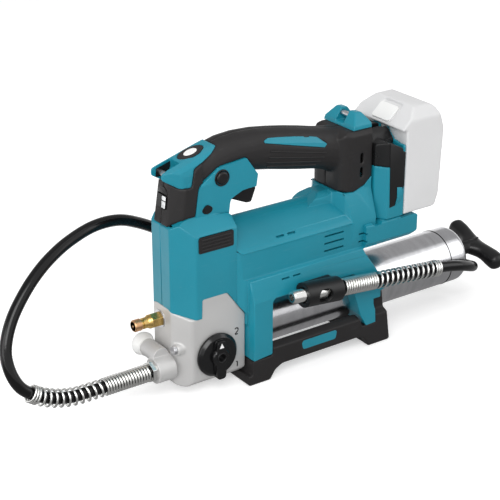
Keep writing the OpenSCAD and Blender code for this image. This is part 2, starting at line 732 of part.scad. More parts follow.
module neck_form() {
    side = rounded([[130, 140], [141, 152, 10], [151.5, rear_box_floor + 1.5, 5], [169, rear_box_floor - 1, 6],
        [182.4, rear_box_floor + 3.5, 4], [body_end_x, rear_box_floor + 11.5], [body_end_x, ledge_z],
        [150, ledge_z]]);
    across = mirrored([[rear_box_w / 2, 180], [rear_box_w / 2, rear_box_floor], [shoulder_w / 2, shoulder_z],
        [shoulder_w / 2 - band_dip, ledge_z]]);
    plan = mirrored_plan(rounded([[126, 0], [126, 6], [143, 10, 8], [rear_box_x - 2.5, 15, 6],
        [rear_box_x + 4, rear_box_w / 2 + 1, 4], [rear_box_x + 16, skirt_w / 2 + 4],
        [body_end_x, skirt_w / 2 + 10], [body_end_x, 0]]));
    intersection() {
        along_y(-50, 50) polygon(side);
        along_x(110, body_end_x) polygon(across);
        along_z(ledge_z - 1, 200) polygon(plan);
    }
}
module lump_form() {
    side = rounded([[119, 146], [125, 154.5, 4], [139, 162.5, 6], [152, 163, 3], [157, 156], [157, 146]]);
    across = mirrored(rounded([[0, 140], [13, 140], [13, 158, 4], [7, 163, 4], [0, 163]]));
    intersection() {
        along_y(-15, 15) polygon(side);
        along_x(115, 160) polygon(across);
    }
}
module shelf_form() {
    side = rounded([[176, ledge_z - 1], [176, shelf_z], [184, shelf_z, 1], [187, shelf_z - 3, 1],
        [194, shelf_z - 3, 1], [198, shelf_z], [218, shelf_z], [220, shelf_z - 2],
        [shelf_end_x, shelf_z - 2, 3], [shelf_end_x, ledge_z + 4, 5], [234, ledge_z, 3], [200, ledge_z - 1]]);
    across = mirrored(rounded([[0, ledge_z - 2], [battery_half - 4, ledge_z - 2],
        [battery_half, ledge_z + 4, 2],
        [battery_half, shelf_z - 2, 2], [battery_half - 3, shelf_z], [0, shelf_z]]));
    intersection() {
        along_y(-50, 50) polygon(side);
        along_x(170, shelf_end_x + 1) polygon(across);
    }
}
module panel_form() {
    along_y(-panel_w / 2, panel_w / 2) polygon(rounded(panel_outline));
}
module housing_outer() {
    body_form();
    column_form();
    neck_form();
    lump_form();
    shelf_form();
    panel_form();
}
module housing_hollow() {
    inner_half = shoulder_w / 2 - band_dip - wall;
    body_inner = crest_line(inner_half, crest_z - wall);
    along_x(column_rear_x - wall - 1, body_end_x - wall)
        polygon(mirrored(concat(body_inner, [[inner_half, body_floor], [0, body_floor]])));
    intersection() {
        along_z(60, column_top - wall) polygon(mirrored_plan([[nose_x + wall, 0],
            [nose_x + wall, nose_w / 2 - 1],
            [nose_x + 19, column_w / 2 - wall], [column_rear_x - wall, column_w / 2 - wall],
            [column_rear_x - wall, 0]]));
        along_x(nose_x, column_rear_x) polygon(mirrored([[20 - wall, column_top], [20 - wall, column_top - wall],
            [column_w / 2 - wall, 160 - wall], [column_w / 2 - wall, 59]]));
    }
    block([rear_box_x + 4, -rear_box_w / 2 + wall, ledge_z + 3],
        [body_end_x - wall, rear_box_w / 2 - wall, 190]);
    block([body_end_x, -battery_half + wall + 1, ledge_z + wall],
        [shelf_end_x - wall, battery_half - wall - 1, shelf_z - 5]);
    along_y(-panel_w / 2 + wall, panel_w / 2 - wall)
        polygon([[-4, 165], [1, 200], [21, 213.5], [32, 214], [32, 178], [26, 176], [26, 165]]);
    along_y(-trigger_half - gap, trigger_half + gap)
        polygon([[30, 165], [30, 203], [42, 206], [58, 203], [70, 200], [70, 165]]);
}
// Ribs that seat the motor, and the bosses for the housing screws
module housing_inside() {
    for (x = [motor_x + 6, motor_end - 6 - motor_rib]) along_x(x, x + motor_rib) difference() {
        polygon(mirrored(concat([[0, crest_z - 1.5]], body_side())));
        translate([0, motor_z]) circle(r = motor_d / 2 + fit);
        translate([-skirt_w, -1]) square([2 * skirt_w, window_top + 2]);
    }
    for (s = housing_screws) rod_y(-skirt_w / 2, skirt_w / 2, screw_boss_r, s[0], s[1]);
}
function screw_seat(s) = s[1] > 180 ? panel_w / 2 - 3 : pump_half - 4;
function screw_tip(s) = s[1] > 180 ? -panel_w / 2 + 4 : -pump_half + 7;
module housing_whole() {
    difference() {
        housing_outer();
        difference() {
            housing_hollow();
            intersection() {
                housing_inside();
                housing_outer();
            }
        }
        pump_sweep(skirt_w);
        rod_x(socket_x, 230, barrel_r + fit);
        rod_y(-panel_w, panel_w, lock_on_r + fit, lock_on_at[0], lock_on_at[1]);
        rod_y(-panel_w, panel_w, trigger_lock_r + fit, trigger_lock_at[0], trigger_lock_at[1]);
        rod_y(-panel_w / 2 + 3, panel_w / 2 - 3, trigger_pin_r + fit, trigger_pivot[0], trigger_pivot[1]);
        for (s = housing_screws) {
            rod_y(screw_tip(s) - 1, skirt_w, screw_r + fit, s[0], s[1]);
            rod_y(screw_seat(s), skirt_w, screw_head_r + 0.3, s[0], s[1]);
        }
        both_sides() vents();
        both_sides() side_pad(0);
    }
}
module vents() {
    reach = [pump_half - 4, shoulder_w];
    for (z = [127.5, 120, 112.4]) block([128.5, reach[0], z - 0.9], [152, reach[1], z + 0.9]);
    for (z = [120, 112]) block([170, reach[0], z - 0.9], [178, reach[1], z + 0.9]);
    for (x = [75, 88], z = [139, 99.5]) block([x, reach[0], z - 0.8], [x + 9, reach[1], z + 0.8]);
}
module housing_left() {
    color(teal) left_half() housing_whole();
}
module housing_right() {
    color(teal) right_half() housing_whole();
}
module screws() {
    color(steel) {
        for (s = housing_screws) {
            rod_y(screw_tip(s), screw_seat(s) + 1, screw_r, s[0], s[1]);
            rod_y(screw_seat(s), screw_seat(s) + 2.4, screw_head_r, s[0], s[1]);
        }
        rod_x(corner_screw.x - 4, corner_screw.x + 7, screw_r + 1, corner_screw.y, corner_screw.z);
        rod_x(corner_screw.x - 6.5, corner_screw.x - 3, 4.2, corner_screw.y, corner_screw.z);
    }
}
module side_pad(proud) {
    pad = rounded([[-12.3, 144.5, 2], [25.5, 144.5, 2], [25.5, 160, 2], [-12.3, 160, 2]]);
    along_y(column_w / 2 - 1, column_w / 2 + (proud > 0 ? proud : 5)) polygon(pad);
}
module side_pads() {
    color(dark) both_sides() side_pad(0.6);
}

// Trigger and the controls beside it
module trigger() {
    color(black) difference() {
        along_y(-trigger_half, trigger_half) polygon(rounded([
            [35, 195, 2], [58, 195, 3], [65.8, 184, 2], [60.5, 171, 2], [55, 171.5, 3], [39.5, 178.4, 3],
            [35, 184, 2]]));
        rod_y(-trigger_half - 1, trigger_half + 1, trigger_pin_r + fit, trigger_pivot[0], trigger_pivot[1]);
    }
}
module trigger_pin() {
    half = panel_w / 2 - 3.2;
    color(steel) rod_y(-half, half, trigger_pin_r, trigger_pivot[0], trigger_pivot[1]);
}
module lock_on_button() {
    reach = panel_w / 2 + button_reach;
    color(dark) rod_y(-reach, reach, lock_on_r, lock_on_at[0], lock_on_at[1]);
}
module trigger_lock() {
    reach = panel_w / 2 + button_reach / 2;
    color(black) rod_y(-reach, reach, trigger_lock_r, trigger_lock_at[0], trigger_lock_at[1]);
}
module switch_body() {
    inside = panel_w / 2 - wall;
    color(dark) block([11, -inside, 181], [28, inside, lock_on_at[1] - lock_on_r - 1]);
}

// Caps that hold the carrying strap
module on_cap_slope() {
    translate([lamp_button_at[0], 0, lamp_button_at[1]]) rotate([0, -cap_slope, 0]) children();
}
module front_strap_cap() {
    plan = mirrored_plan(rounded([[-37, 0], [-37, 9, 6], [-18, cap_half, 8], [9, cap_half, 9], [23, 9, 8],
        [23, 0]]));
    across = mirrored([[0, 1], [6, 1], [13, -2.5], [cap_half - 1, -6], [cap_half + 1, -16],
        [cap_half + 1, -60], [0, -60]]);
    color(teal) difference() {
        intersection() {
            along_y(-cap_half - 2, cap_half + 2) polygon(rounded(cap_outline));
            along_z(190, 250) polygon(plan);
            on_cap_slope() along_x(-60, 60) polygon(across);
        }
        along_y(-slot_half, slot_half) polygon([[-60, 190], [-60, 260], [slot_x, 260],
            [slot_x, front_bar_at[1] + 4], [slot_x - 4, front_bar_at[1] - 6], [slot_x - 8, 190]]);
        rod_y(-cap_half + 5, cap_half - 5, strap_bar_d / 2 + fit, front_bar_at[0], front_bar_at[1]);
        lamp_button_shape(gap, -4, 4);
    }
}
module front_strap_bar() {
    color(steel) rod_y(-cap_half + 5.2, cap_half - 5.2, strap_bar_d / 2, front_bar_at[0], front_bar_at[1]);
}
module lamp_button_shape(grow, low, high) {
    on_cap_slope() along_z(low, high) polygon([for (a = [0 : 10 : 350])
        [(lamp_button_size[0] + grow) * cos(a), (lamp_button_size[1] + grow) * sin(a)]]);
}
module lamp_button() {
    color(dark) lamp_button_shape(0, -4 + lamp_button_press + 0.2, -0.3);
}
module rear_strap_cap() {
    half = rear_box_w / 2 - 2;
    low = rear_box_top;
    color(teal) difference() {
        intersection() {
            along_y(-half, half) polygon(rounded([[168.5, low], [169.5, low + 4, 2], [176.5, low + 15, 3],
                [184, low + 14, 3], [190.5, low + 5, 2], [190.5, low]]));
            along_x(160, 195) polygon(mirrored(rounded([[0, low - 1], [half, low - 1], [half, low + 4, 3],
                [half - 10, low + 16, 4], [0, low + 16]])));
        }
        block([160, -rear_slot_half, low + 2.5], [rear_bar_at[0] + 9, rear_slot_half, low + 40]);
        rod_y(-rear_slot_half - 4, rear_slot_half + 4, strap_bar_d / 2 + fit, rear_bar_at[0], rear_bar_at[1]);
    }
}
module rear_strap_bar() {
    reach = rear_slot_half + 3.8;
    color(steel) rod_y(-reach, reach, strap_bar_d / 2, rear_bar_at[0], rear_bar_at[1]);
}

// Grip: lamp post, hand grip and rear box, moulded as two halves
function squared(c) = sign(c) * pow(abs(c), 0.85);
function grip_ring(g, shrink, sides) =
    let (lean = g[3], high = (grip_h / 2 - shrink) * g[2], wide = (grip_w / 2 - shrink) * g[2])
    [for (k = [0 : sides - 1])
        let (a = 360 * (k + 0.5) / sides, up = high * squared(sin(a)))
        [g[0] + up * sin(lean), -wide * squared(cos(a)), g[1] + up * cos(lean)]];
module hand_grip(shrink, sides = 24) {
    lofted([for (g = grip_line) grip_ring(g, shrink, sides)]);
}
module lamp_post() {
    low = mirrored_plan([[nose_x, 0], [nose_x, nose_w / 2 - 4], [nose_x + 12, panel_w / 2], [2, panel_w / 2],
        [2, 0]]);
    high = mirrored_plan([[nose_x + post_lean, 0], [nose_x + post_lean, nose_w / 2 - 7],
        [nose_x + 21, panel_w / 2 - 1],
        [2, panel_w / 2 - 1], [2, 0]]);
    hull() {
        along_z(166, 166.1) polygon(low);
        along_z(post_top + 18, post_top + 18.1) polygon(high);
    }
}
module rear_box(shrink) {
    half = rear_box_w / 2 - shrink;
    top = rear_box_top - shrink;
    low = rear_box_floor - 6;
    plan = mirrored_plan(rounded([[rear_box_x + shrink, 0], [rear_box_x + shrink, half, 12],
        [rear_box_end - shrink, half, 3], [rear_box_end - shrink, 0]]));
    side = rounded([[rear_box_x - 1, low], [rear_box_end + 1, low], [rear_box_end + 1, top],
        [rear_box_x + 9, top, 8], [rear_box_x - 1, top - 8]]);
    intersection() {
        along_z(low, top) polygon(plan);
        along_y(-50, 50) polygon(side);
        along_x(rear_box_x - 1, rear_box_end + 1)
            polygon(mirrored([[0, low], [half, low], [half, top - 5], [half - 4, top], [0, top]]));
    }
}
module grip_whole() {
    difference() {
        union() {
            lamp_post();
            hand_grip(0);
            rear_box(0);
        }
        difference() {
            union() {
                hand_grip(wall);
                rear_box(wall);
            }
            block([-60, -50, 100], [66, 50, 300]);
        }
        housing_solid();
        along_y(-50, 50) polygon(rounded(concat([[-60, 209.5], [-60, 300], [20.5, 300]], cap_under)));
        lamp_lens_shape(gap / 4);
        both_sides() grip_insert_cut();
        rod_y(-60, 60, lock_on_r + gap, lock_on_at[0], lock_on_at[1]);
        for (z = [rear_box_top - 28.5, rear_box_top - 42.7])
            both_sides() block([rear_box_end - 15, rear_box_w / 2 - 4, z - 5],
                [rear_box_end - 12, rear_box_w, z + 5]);
    }
}
// Housing with its hollows filled, which the grip is moulded over
module housing_solid() {
    column_form();
    neck_form();
    lump_form();
    panel_form();
    along_y(-trigger_half - gap, trigger_half + gap) polygon([[20, 165], [20, 205], [58, 206], [72, 196],
        [72, 165]]);
    along_y(-panel_w / 2 + wall, panel_w / 2 - wall) polygon([[-4, 165], [1, 200], [21, 213.5], [32, 214],
        [32, 165]]);
}
module grip_left() {
    color(dark) left_half() grip_whole();
}
module grip_right() {
    color(dark) right_half() grip_whole();
}
insert_outline = [
    [68, 229, 1], [78, 233.5, 3], [109.8, 230.6, 1], [113.3, 227, 2], [116.8, 224.3, 2], [121.5, 223.4, 1],
    [124.9, 226.6, 1], [141.6, 213.4, 1], [138, 211, 1]
];
module grip_insert_cut() {
    along_y(grip_w / 2 - 3.5, grip_w) polygon(rounded(insert_outline));
}
module grip_inserts() {
    color(teal) both_sides() intersection() {
        grip_insert_cut();
        hand_grip(-0.4);
    }
}
module lamp_lens_shape(grow) {
    translate([nose_x + post_lean * (lens_z - 166) / (post_top - 148), 0, lens_z])
        rotate([0, atan2(post_lean, post_top - 148), 0])
        block([-0.8 - grow, -lens_size[0] / 2 - grow, -lens_size[1] / 2 - grow],
            [4 + grow, lens_size[0] / 2 + grow, lens_size[1] / 2 + grow]);
}
module lamp_lens() {
    color(white) lamp_lens_shape(0);
}

// Base: two rails on a front and a rear foot
module base_frame() {
    color(dark) difference() {
        intersection() {
            along_y(-base_half, base_half) polygon(rounded(base_outline));
            along_x(30, 215) polygon(mirrored([[base_half, 0], [base_half, 32], [base_half - 6, 36],
                [base_half - 6, 60]]));
        }
        block([rail_cut[0], -base_half + rail_w, -1], [rail_cut[1], base_half - rail_w, 70]);
        rod_x(socket_x, 230, barrel_r + gap);
        block([30, -pump_half - gap, pump_floor - gap], [pump_rear_x + gap, pump_half + gap, 60]);
        both_sides() base_accent(base_half - 1, base_half + 2);
        body_form();
    }
}
module base_accent(y0, y1) {
    along_y(y0, y1) polygon(rounded([[98.5, 20.5, 3], [138, 20.5, 3], [140, 30, 3], [96.5, 30, 3]]));
}
module base_accents() {
    color(teal) both_sides() base_accent(base_half - 1, base_half - 0.2);
}

// Motor and gears
module motor_stator() {
    r = motor_d / 2;
    color(dark) difference() {
        rod_x(motor_x, motor_end, r, 0, motor_z);
        rod_x(motor_x + motor_bearing_len + 1, motor_end - motor_bearing_len - 1, 14.5, 0, motor_z);
        rod_x(motor_x - 1, motor_end + 1, motor_bearing_r + fit, 0, motor_z);
    }
}
module motor_bearings() {
    color(steel) for (x = [motor_x, motor_end - motor_bearing_len])
        tube_x(x, x + motor_bearing_len, motor_bearing_r, rotor_shaft_r + fit, motor_z);
}
module motor_rotor() {
    color(steel) {
        rod_x(planet_x[1] - 1, motor_end + 14, rotor_shaft_r, 0, motor_z);
        rod_x(motor_x + motor_bearing_len + 2, motor_end - motor_bearing_len - 2, 14, 0, motor_z);
        translate([0, 0, motor_z]) along_x(planet_x[0], planet_x[1])
            polygon(gear_outline(gear_m, teeth[0], 0.8, 1.15, gear_slack));
    }
}
module motor_fan() {
    x0 = motor_end + 3;
    color(dark) difference() {
        union() {
            rod_x(x0, x0 + 9, 6, 0, motor_z);
            rod_x(x0, x0 + 1.6, 21, 0, motor_z);
            for (i = [0 : 8]) translate([x0, 0, motor_z]) rotate([i * 40, 0, 0]) translate([0, -0.8, 5])
                cube([8, 1.6, 15]);
        }
        rod_x(x0 - 1, x0 + 10, rotor_shaft_r + fit, 0, motor_z);
    }
}
module gear_case() {
    color(alloy) difference() {
        union() {
            rod_x(case_x - 3, case_end, case_r, 0, motor_z);
            rod_x(plunger_x + cam_x[1] + 4, case_x, crank_bearing_r + 3, 0, motor_z);
            block([plunger_x + cam_x[1] + 4, -12, pump_top], [pump_rear_x - 22, 12, motor_z]);
        }
        rod_x(case_x, case_end + 1, ring_r + fit, 0, motor_z);
        rod_x(crank_bearing_x[0], case_x + 1, crank_bearing_r + fit, 0, motor_z);
        rod_x(0, case_x + 1, shaft_r + gap, 0, motor_z);
    }
}
module ring_gear() {
    color(steel) translate([0, 0, motor_z]) along_x(ring_x[0], ring_x[1]) difference() {
        circle(r = ring_r);
        rotate(180 / teeth[2]) polygon(gear_outline(gear_m, teeth[2], 1.15, 0.8, -gear_slack));
    }
}
module planet_gear(k) {
    color(steel) translate([0, 0, motor_z]) rotate([120 * k, 0, 0]) translate([0, planet_orbit, 0])
        difference() {
        along_x(planet_x[0], planet_x[1])
            rotate(180 / teeth[1]) polygon(gear_outline(gear_m, teeth[1], 0.8, 1.15, gear_slack));
        rod_x(planet_x[0] - 1, planet_x[1] + 1, planet_pin_r + fit, 0, 0);
    }
}
module planet_gear_1() {
    planet_gear(0);
}
module planet_gear_2() {
    planet_gear(1);
}
module planet_gear_3() {
    planet_gear(2);
}
module crank_shaft() {
    color(steel) {
        rod_x(cam_x[1], carrier_x[0] + 1, shaft_r, 0, motor_z);
        rod_x(cam_x[0], cam_x[1] + 1, cam_r, 0, motor_z + crank_throw);
        rod_x(carrier_x[0], carrier_x[1], planet_orbit + 6, 0, motor_z);
        for (k = [0 : 2]) translate([0, 0, motor_z]) rotate([120 * k, 0, 0])
            rod_x(carrier_x[1] - 1, planet_x[1] + 1, planet_pin_r, planet_orbit, 0);
    }
}
module crank_bearing() {
    color(steel) tube_x(crank_bearing_x[0], crank_bearing_x[1], crank_bearing_r, shaft_r + fit, motor_z);
}
module controller_board() {
    color("#2f6b3c") block([rear_box_x + 8, -board_half, 118],
        [rear_box_x + 9.6, board_half, rear_box_floor - 1]);
}

// Battery holder, battery and its contacts
// Upper edge of the holder: high in the middle, with a lower shoulder at each side
holder_brow = [[0, 0], [10, 0], [15, -5], [20, -10], [30, -12], [battery_half, -12.4]];
holder_plan = mirrored_plan([[holder_x, 0], [holder_x, 26], [holder_x + 8, battery_half],
    [holder_end, battery_half], [holder_end, 0]]);
module battery_holder() {
    plate = concat([[0, shelf_z]], [for (p = holder_brow) [p.x, holder_top + p.y]], [[battery_half, shelf_z]]);
    color(teal) difference() {
        union() {
            along_z(shelf_z, holder_split) polygon(holder_plan);
            along_x(holder_end - 3, holder_end) polygon(mirrored(plate));
            both_sides() block([holder_end - 1, rail_y[0], rail_z[0]],
                [battery_x + rail_depth, rail_y[1], rail_z[1]]);
        }
        block([holder_x + wall, -26, shelf_z + wall], [holder_end - 3 - wall, 26, holder_split + 1]);
    }
}
module holder_cover() {
    crown = rounded([[holder_x, holder_split], [holder_x, holder_top - 2, 4],
        [holder_x + 9, holder_top + 3, 8], [holder_end - 8, holder_top + 1, 6], [holder_end - 3, holder_top],
        [holder_end - 3, holder_split]]);
    wing = rounded([[holder_x, holder_split], [holder_x, holder_top - 9, 3], [holder_x + 8, holder_top - 6, 4],
        [holder_end - 3, holder_top - 15], [holder_end - 3, holder_split]]);
    across = [[0, holder_split - 1], [0, holder_top + 3], [11, holder_top + 2.5], [16, holder_top - 2],
        [22, holder_top - 9], [22, holder_split - 1]];
    color(black) difference() {
        intersection() {
            union() {
                along_y(-battery_half, battery_half) polygon(wing);
                intersection() {
                    along_y(-22, 22) polygon(crown);
                    along_x(holder_x, holder_end) polygon(mirrored(across));
                }
            }
            along_z(holder_split, holder_top + 5) polygon(holder_plan);
        }
        block([holder_x + wall, -26, holder_split - 1], [holder_end - 3 - wall, 26, holder_top - 17]);
    }
}
module battery_contacts() {
    color(brass) for (y = contact_y) block([holder_end, y - 1, shelf_z + 20],
        [battery_x + 4.5, y + 1, shelf_z + 34]);
}
battery_outline = [
    [battery_x, shelf_z + 1], [battery_end - 7, shelf_z + 1, 5], [battery_end - 3, shelf_z + 14, 6],
    [battery_end, battery_top - 25, 12], [battery_end - 8, battery_top, 10],
    [battery_x - 5 + button_rise[0], battery_top, 4], [battery_x - 5, battery_top - button_rise[1], 2],
    [battery_x - 5, battery_top - button_rise[1] - 2], [battery_x, battery_top - button_rise[1] - 2]
];
module on_button_slope() {
    translate([battery_x - 5, 0, battery_top - button_rise[1]]) rotate([0, -button_slope, 0]) children();
}
module battery_case() {
    inner = [[battery_x + 5, shelf_z + 4], [battery_end - 9, shelf_z + 4], [battery_end - 5.4, shelf_z + 10],
        [battery_end - 5.4, battery_top - 10], [battery_x + 9, battery_top - 10],
        [battery_x + 5, battery_top - 16]];
    across = mirrored(rounded([[0, shelf_z], [battery_half, shelf_z, 2], [battery_half, battery_top - 10, 6],
        [battery_half - 10, battery_top, 6], [0, battery_top]]));
    color(pale) difference() {
        intersection() {
            along_y(-battery_half, battery_half) polygon(rounded(battery_outline));
            along_x(200, 290) polygon(across);
        }
        along_y(-battery_half + wall, battery_half - wall) polygon(inner);
        both_sides() block([battery_x - 1, rail_y[0] - gap, shelf_z - 1],
            [battery_x + rail_depth + gap, rail_y[1] + gap, rail_z[1] + gap]);
        for (y = contact_y) block([battery_x - 1, y - 2, shelf_z - 1], [battery_x + 5.2, y + 2, shelf_z + 36]);
        on_button_slope() block([2 - gap, -13 - gap, -2], [20 + button_slide + gap, 13 + gap, 6]);
    }
}
module battery_button() {
    color(white) on_button_slope() along_z(-2, 0.8)
        polygon(rounded([[2, -13, 3], [20, -13, 3], [20, 13, 3], [2, 13, 3]]));
}
module battery_cells() {
    color("#3d6fa3") for (i = [0 : cell_rows - 1], k = [0, 1])
        rod_y(-cell_half, cell_half, cell_d / 2, cell_x + k * cell_pitch,
            cell_floor + cell_d / 2 + i * cell_pitch);
}

place() housing_left();
place() housing_right();
place() screws();
place() grip_left();
place() grip_right();
place() grip_inserts();
place() front_strap_cap();
place() front_strap_bar();
place() rear_strap_cap();
place() rear_strap_bar();
place() lamp_lens();
place() lamp_button();
place() side_pads();
place() trigger();
place() trigger_pin();
place() lock_on_button();
place() trigger_lock();
place() switch_body();
place() controller_board();
place() pump_body();
place() outlet_elbow();
place() elbow_cap();
place() bleeder_valve();
place() check_ball();
place() speed_dial();
place() selector_spindle();
place() pump_plunger();
place() base_frame();
place() base_accents();
place() barrel_tube();
place() barrel_cap();
place() follower_rod();
place() rod_handle();
place() follower_piston();
place() follower_seal();
place() follower_spring();
place() motor_stator();
place() motor_rotor();
place() motor_fan();
place() motor_bearings();
place() gear_case();
place() ring_gear();
place() planet_gear_1();
place() planet_gear_2();
place() planet_gear_3();
place() crank_shaft();
place() crank_bearing();
place() battery_holder();
place() holder_cover();
place() battery_contacts();
place() battery_case();
place() battery_button();
place() battery_cells();
place() hose_holder();
place() hose();
place() hose_spring_front();
place() hose_spring_rear();
place() hose_nut();
place() hose_ferrule();
place() grease_coupler();
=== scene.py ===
"""Dresses the cordless grease gun: moulded housing, cast pump body, polished barrel and sprung hose."""
import json

import bmesh
import bpy
import numpy as np
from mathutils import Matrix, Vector

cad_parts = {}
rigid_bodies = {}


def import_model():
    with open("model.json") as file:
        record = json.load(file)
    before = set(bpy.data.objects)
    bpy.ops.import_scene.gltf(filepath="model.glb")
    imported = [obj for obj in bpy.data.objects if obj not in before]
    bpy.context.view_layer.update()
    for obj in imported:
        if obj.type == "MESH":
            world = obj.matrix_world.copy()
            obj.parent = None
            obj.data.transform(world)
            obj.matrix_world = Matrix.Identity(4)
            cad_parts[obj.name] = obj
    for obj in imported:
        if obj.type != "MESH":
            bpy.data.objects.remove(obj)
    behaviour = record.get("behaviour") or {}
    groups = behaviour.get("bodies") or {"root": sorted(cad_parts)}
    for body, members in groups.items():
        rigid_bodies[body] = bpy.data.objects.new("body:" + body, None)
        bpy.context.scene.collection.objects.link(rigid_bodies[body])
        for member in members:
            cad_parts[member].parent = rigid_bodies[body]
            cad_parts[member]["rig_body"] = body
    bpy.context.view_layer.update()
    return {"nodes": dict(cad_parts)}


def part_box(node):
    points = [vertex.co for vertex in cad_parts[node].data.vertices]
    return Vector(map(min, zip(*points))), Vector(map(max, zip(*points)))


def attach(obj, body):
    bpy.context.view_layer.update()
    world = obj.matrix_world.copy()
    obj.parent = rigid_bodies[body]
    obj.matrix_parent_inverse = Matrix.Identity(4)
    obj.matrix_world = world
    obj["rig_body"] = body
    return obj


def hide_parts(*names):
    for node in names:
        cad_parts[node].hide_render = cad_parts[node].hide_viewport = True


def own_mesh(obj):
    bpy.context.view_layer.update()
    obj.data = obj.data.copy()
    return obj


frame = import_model()

MM = 0.001
# The barrel's rear end and axis and the pump's front, in millimetres
BARREL_END, BARREL_Z = 300.0, 50.0
NOSE_X = -33.0
TUBE_LOW, TUBE_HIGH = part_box("barrel_tube")
# Stations along the gun, in millimetres from the pump's plunger, become points of the shared frame
SHIFT = np.array([TUBE_HIGH.x / MM - BARREL_END, (TUBE_LOW.y + TUBE_HIGH.y) / (2 * MM), 0])


def place(points):
    """Stations in millimetres along the gun, as points of the shared frame in metres."""
    return (np.asarray(points, float) + SHIFT) * MM


# Shader groups that several finishes share


def new_group(name, inputs, outputs):
    """A shader group with named sockets, and its input and output nodes."""
    tree = bpy.data.node_groups.new(name, "ShaderNodeTree")
    for label, kind, value in inputs:
        socket = tree.interface.new_socket(label, in_out="INPUT", socket_type=kind)
        socket.default_value = value
    for label, kind in outputs:
        tree.interface.new_socket(label, in_out="OUTPUT", socket_type=kind)
    return tree, tree.nodes.new("NodeGroupInput"), tree.nodes.new("NodeGroupOutput")


def object_coordinates(tree, stretch=(1, 1, 1)):
    """Object coordinates, stretched along the axes."""
    where = tree.nodes.new("ShaderNodeTexCoord")
    mapping = tree.nodes.new("ShaderNodeMapping")
    mapping.inputs["Scale"].default_value = stretch
    tree.links.new(where.outputs["Object"], mapping.inputs["Vector"])
    return mapping.outputs["Vector"]


def noise(tree, vector, scale, detail=2.0):
    """A noise texture; scale is a number or a socket."""
    node = tree.nodes.new("ShaderNodeTexNoise")
    node.inputs["Detail"].default_value = detail
    tree.links.new(vector, node.inputs["Vector"])
    feed(tree, node.inputs["Scale"], scale)
    return node.outputs["Fac"]


def feed(tree, socket, value):
    """Sets a socket, or links it."""
    if isinstance(value, bpy.types.NodeSocket):
        tree.links.new(value, socket)
    else:
        socket.default_value = value


def spread(tree, value, low, high, start=0.3, end=0.7):
    """The span from start to end of a value, mapped to the span from low to high."""
    node = tree.nodes.new("ShaderNodeMapRange")
    for label, setting in (("From Min", start), ("From Max", end), ("To Min", low), ("To Max", high)):
        feed(tree, node.inputs[label], setting)
    tree.links.new(value, node.inputs["Value"])
    return node.outputs["Result"]


def sums(tree, operation, a, b):
    """One step of arithmetic on numbers or sockets."""
    node = tree.nodes.new("ShaderNodeMath")
    node.operation = operation
    feed(tree, node.inputs[0], a)
    feed(tree, node.inputs[1], b)
    return node.outputs[0]


def blend_colours(tree, share, first, second):
    """Two colours mixed by a share."""
    node = tree.nodes.new("ShaderNodeMix")
    node.data_type = "RGBA"
    feed(tree, node.inputs[0], share)
    feed(tree, node.inputs[6], first)
    feed(tree, node.inputs[7], second)
    return node.outputs[2]


def tone_drift_group():
    """Slow drift of brightness over a moulding, and pale rub marks in short streaks."""
    tree, inner, outer = new_group(
        "Tone drift",
        [("Color", "NodeSocketColor", (0.5, 0.5, 0.5, 1)), ("Amount", "NodeSocketFloat", 0.08),
         ("Rub Color", "NodeSocketColor", (0.8, 0.8, 0.8, 1)), ("Rub", "NodeSocketFloat", 0.1)],
        [("Color", "NodeSocketColor")])
    slow = noise(tree, object_coordinates(tree), 14.0, 3.0)
    value = spread(tree, slow, sums(tree, "SUBTRACT", 1.0, inner.outputs["Amount"]),
                   sums(tree, "ADD", 1.0, inner.outputs["Amount"]))
    shade = tree.nodes.new("ShaderNodeHueSaturation")
    tree.links.new(inner.outputs["Color"], shade.inputs["Color"])
    tree.links.new(value, shade.inputs["Value"])
    streaks = noise(tree, object_coordinates(tree, (0.25, 1, 1.6)), 260.0, 4.0)
    mask = sums(tree, "MULTIPLY", spread(tree, streaks, 0.0, 1.0, 0.62, 0.78), inner.outputs["Rub"])
    colour = blend_colours(tree, mask, shade.outputs["Color"], inner.outputs["Rub Color"])
    tree.links.new(colour, outer.inputs["Color"])
    return tree


def moulded_grain_group():
    """Spark-eroded texture of a mould: fine pits at one scale over a softer grain at four times its size."""
    tree, inner, outer = new_group(
        "Moulded grain",
        [("Scale", "NodeSocketFloat", 900.0), ("Pits", "NodeSocketFloat", 0.5)],
        [("Height", "NodeSocketFloat")])
    where = object_coordinates(tree)
    fine = noise(tree, where, inner.outputs["Scale"], 2.0)
    soft = noise(tree, where, sums(tree, "MULTIPLY", inner.outputs["Scale"], 0.25), 2.0)
    pits = sums(tree, "MULTIPLY", fine, inner.outputs["Pits"])
    tree.links.new(sums(tree, "ADD", pits, soft), outer.inputs["Height"])
    return tree


def uneven_gloss_group():
    """Roughness that wanders between two values, as handled surfaces do."""
    tree, inner, outer = new_group(
        "Uneven gloss",
        [("Low", "NodeSocketFloat", 0.3), ("High", "NodeSocketFloat", 0.5),
         ("Scale", "NodeSocketFloat", 40.0)],
        [("Roughness", "NodeSocketFloat")])
    wander = noise(tree, object_coordinates(tree), inner.outputs["Scale"], 4.0)
    rough = spread(tree, wander, inner.outputs["Low"], inner.outputs["High"])
    tree.links.new(rough, outer.inputs["Roughness"])
    return tree


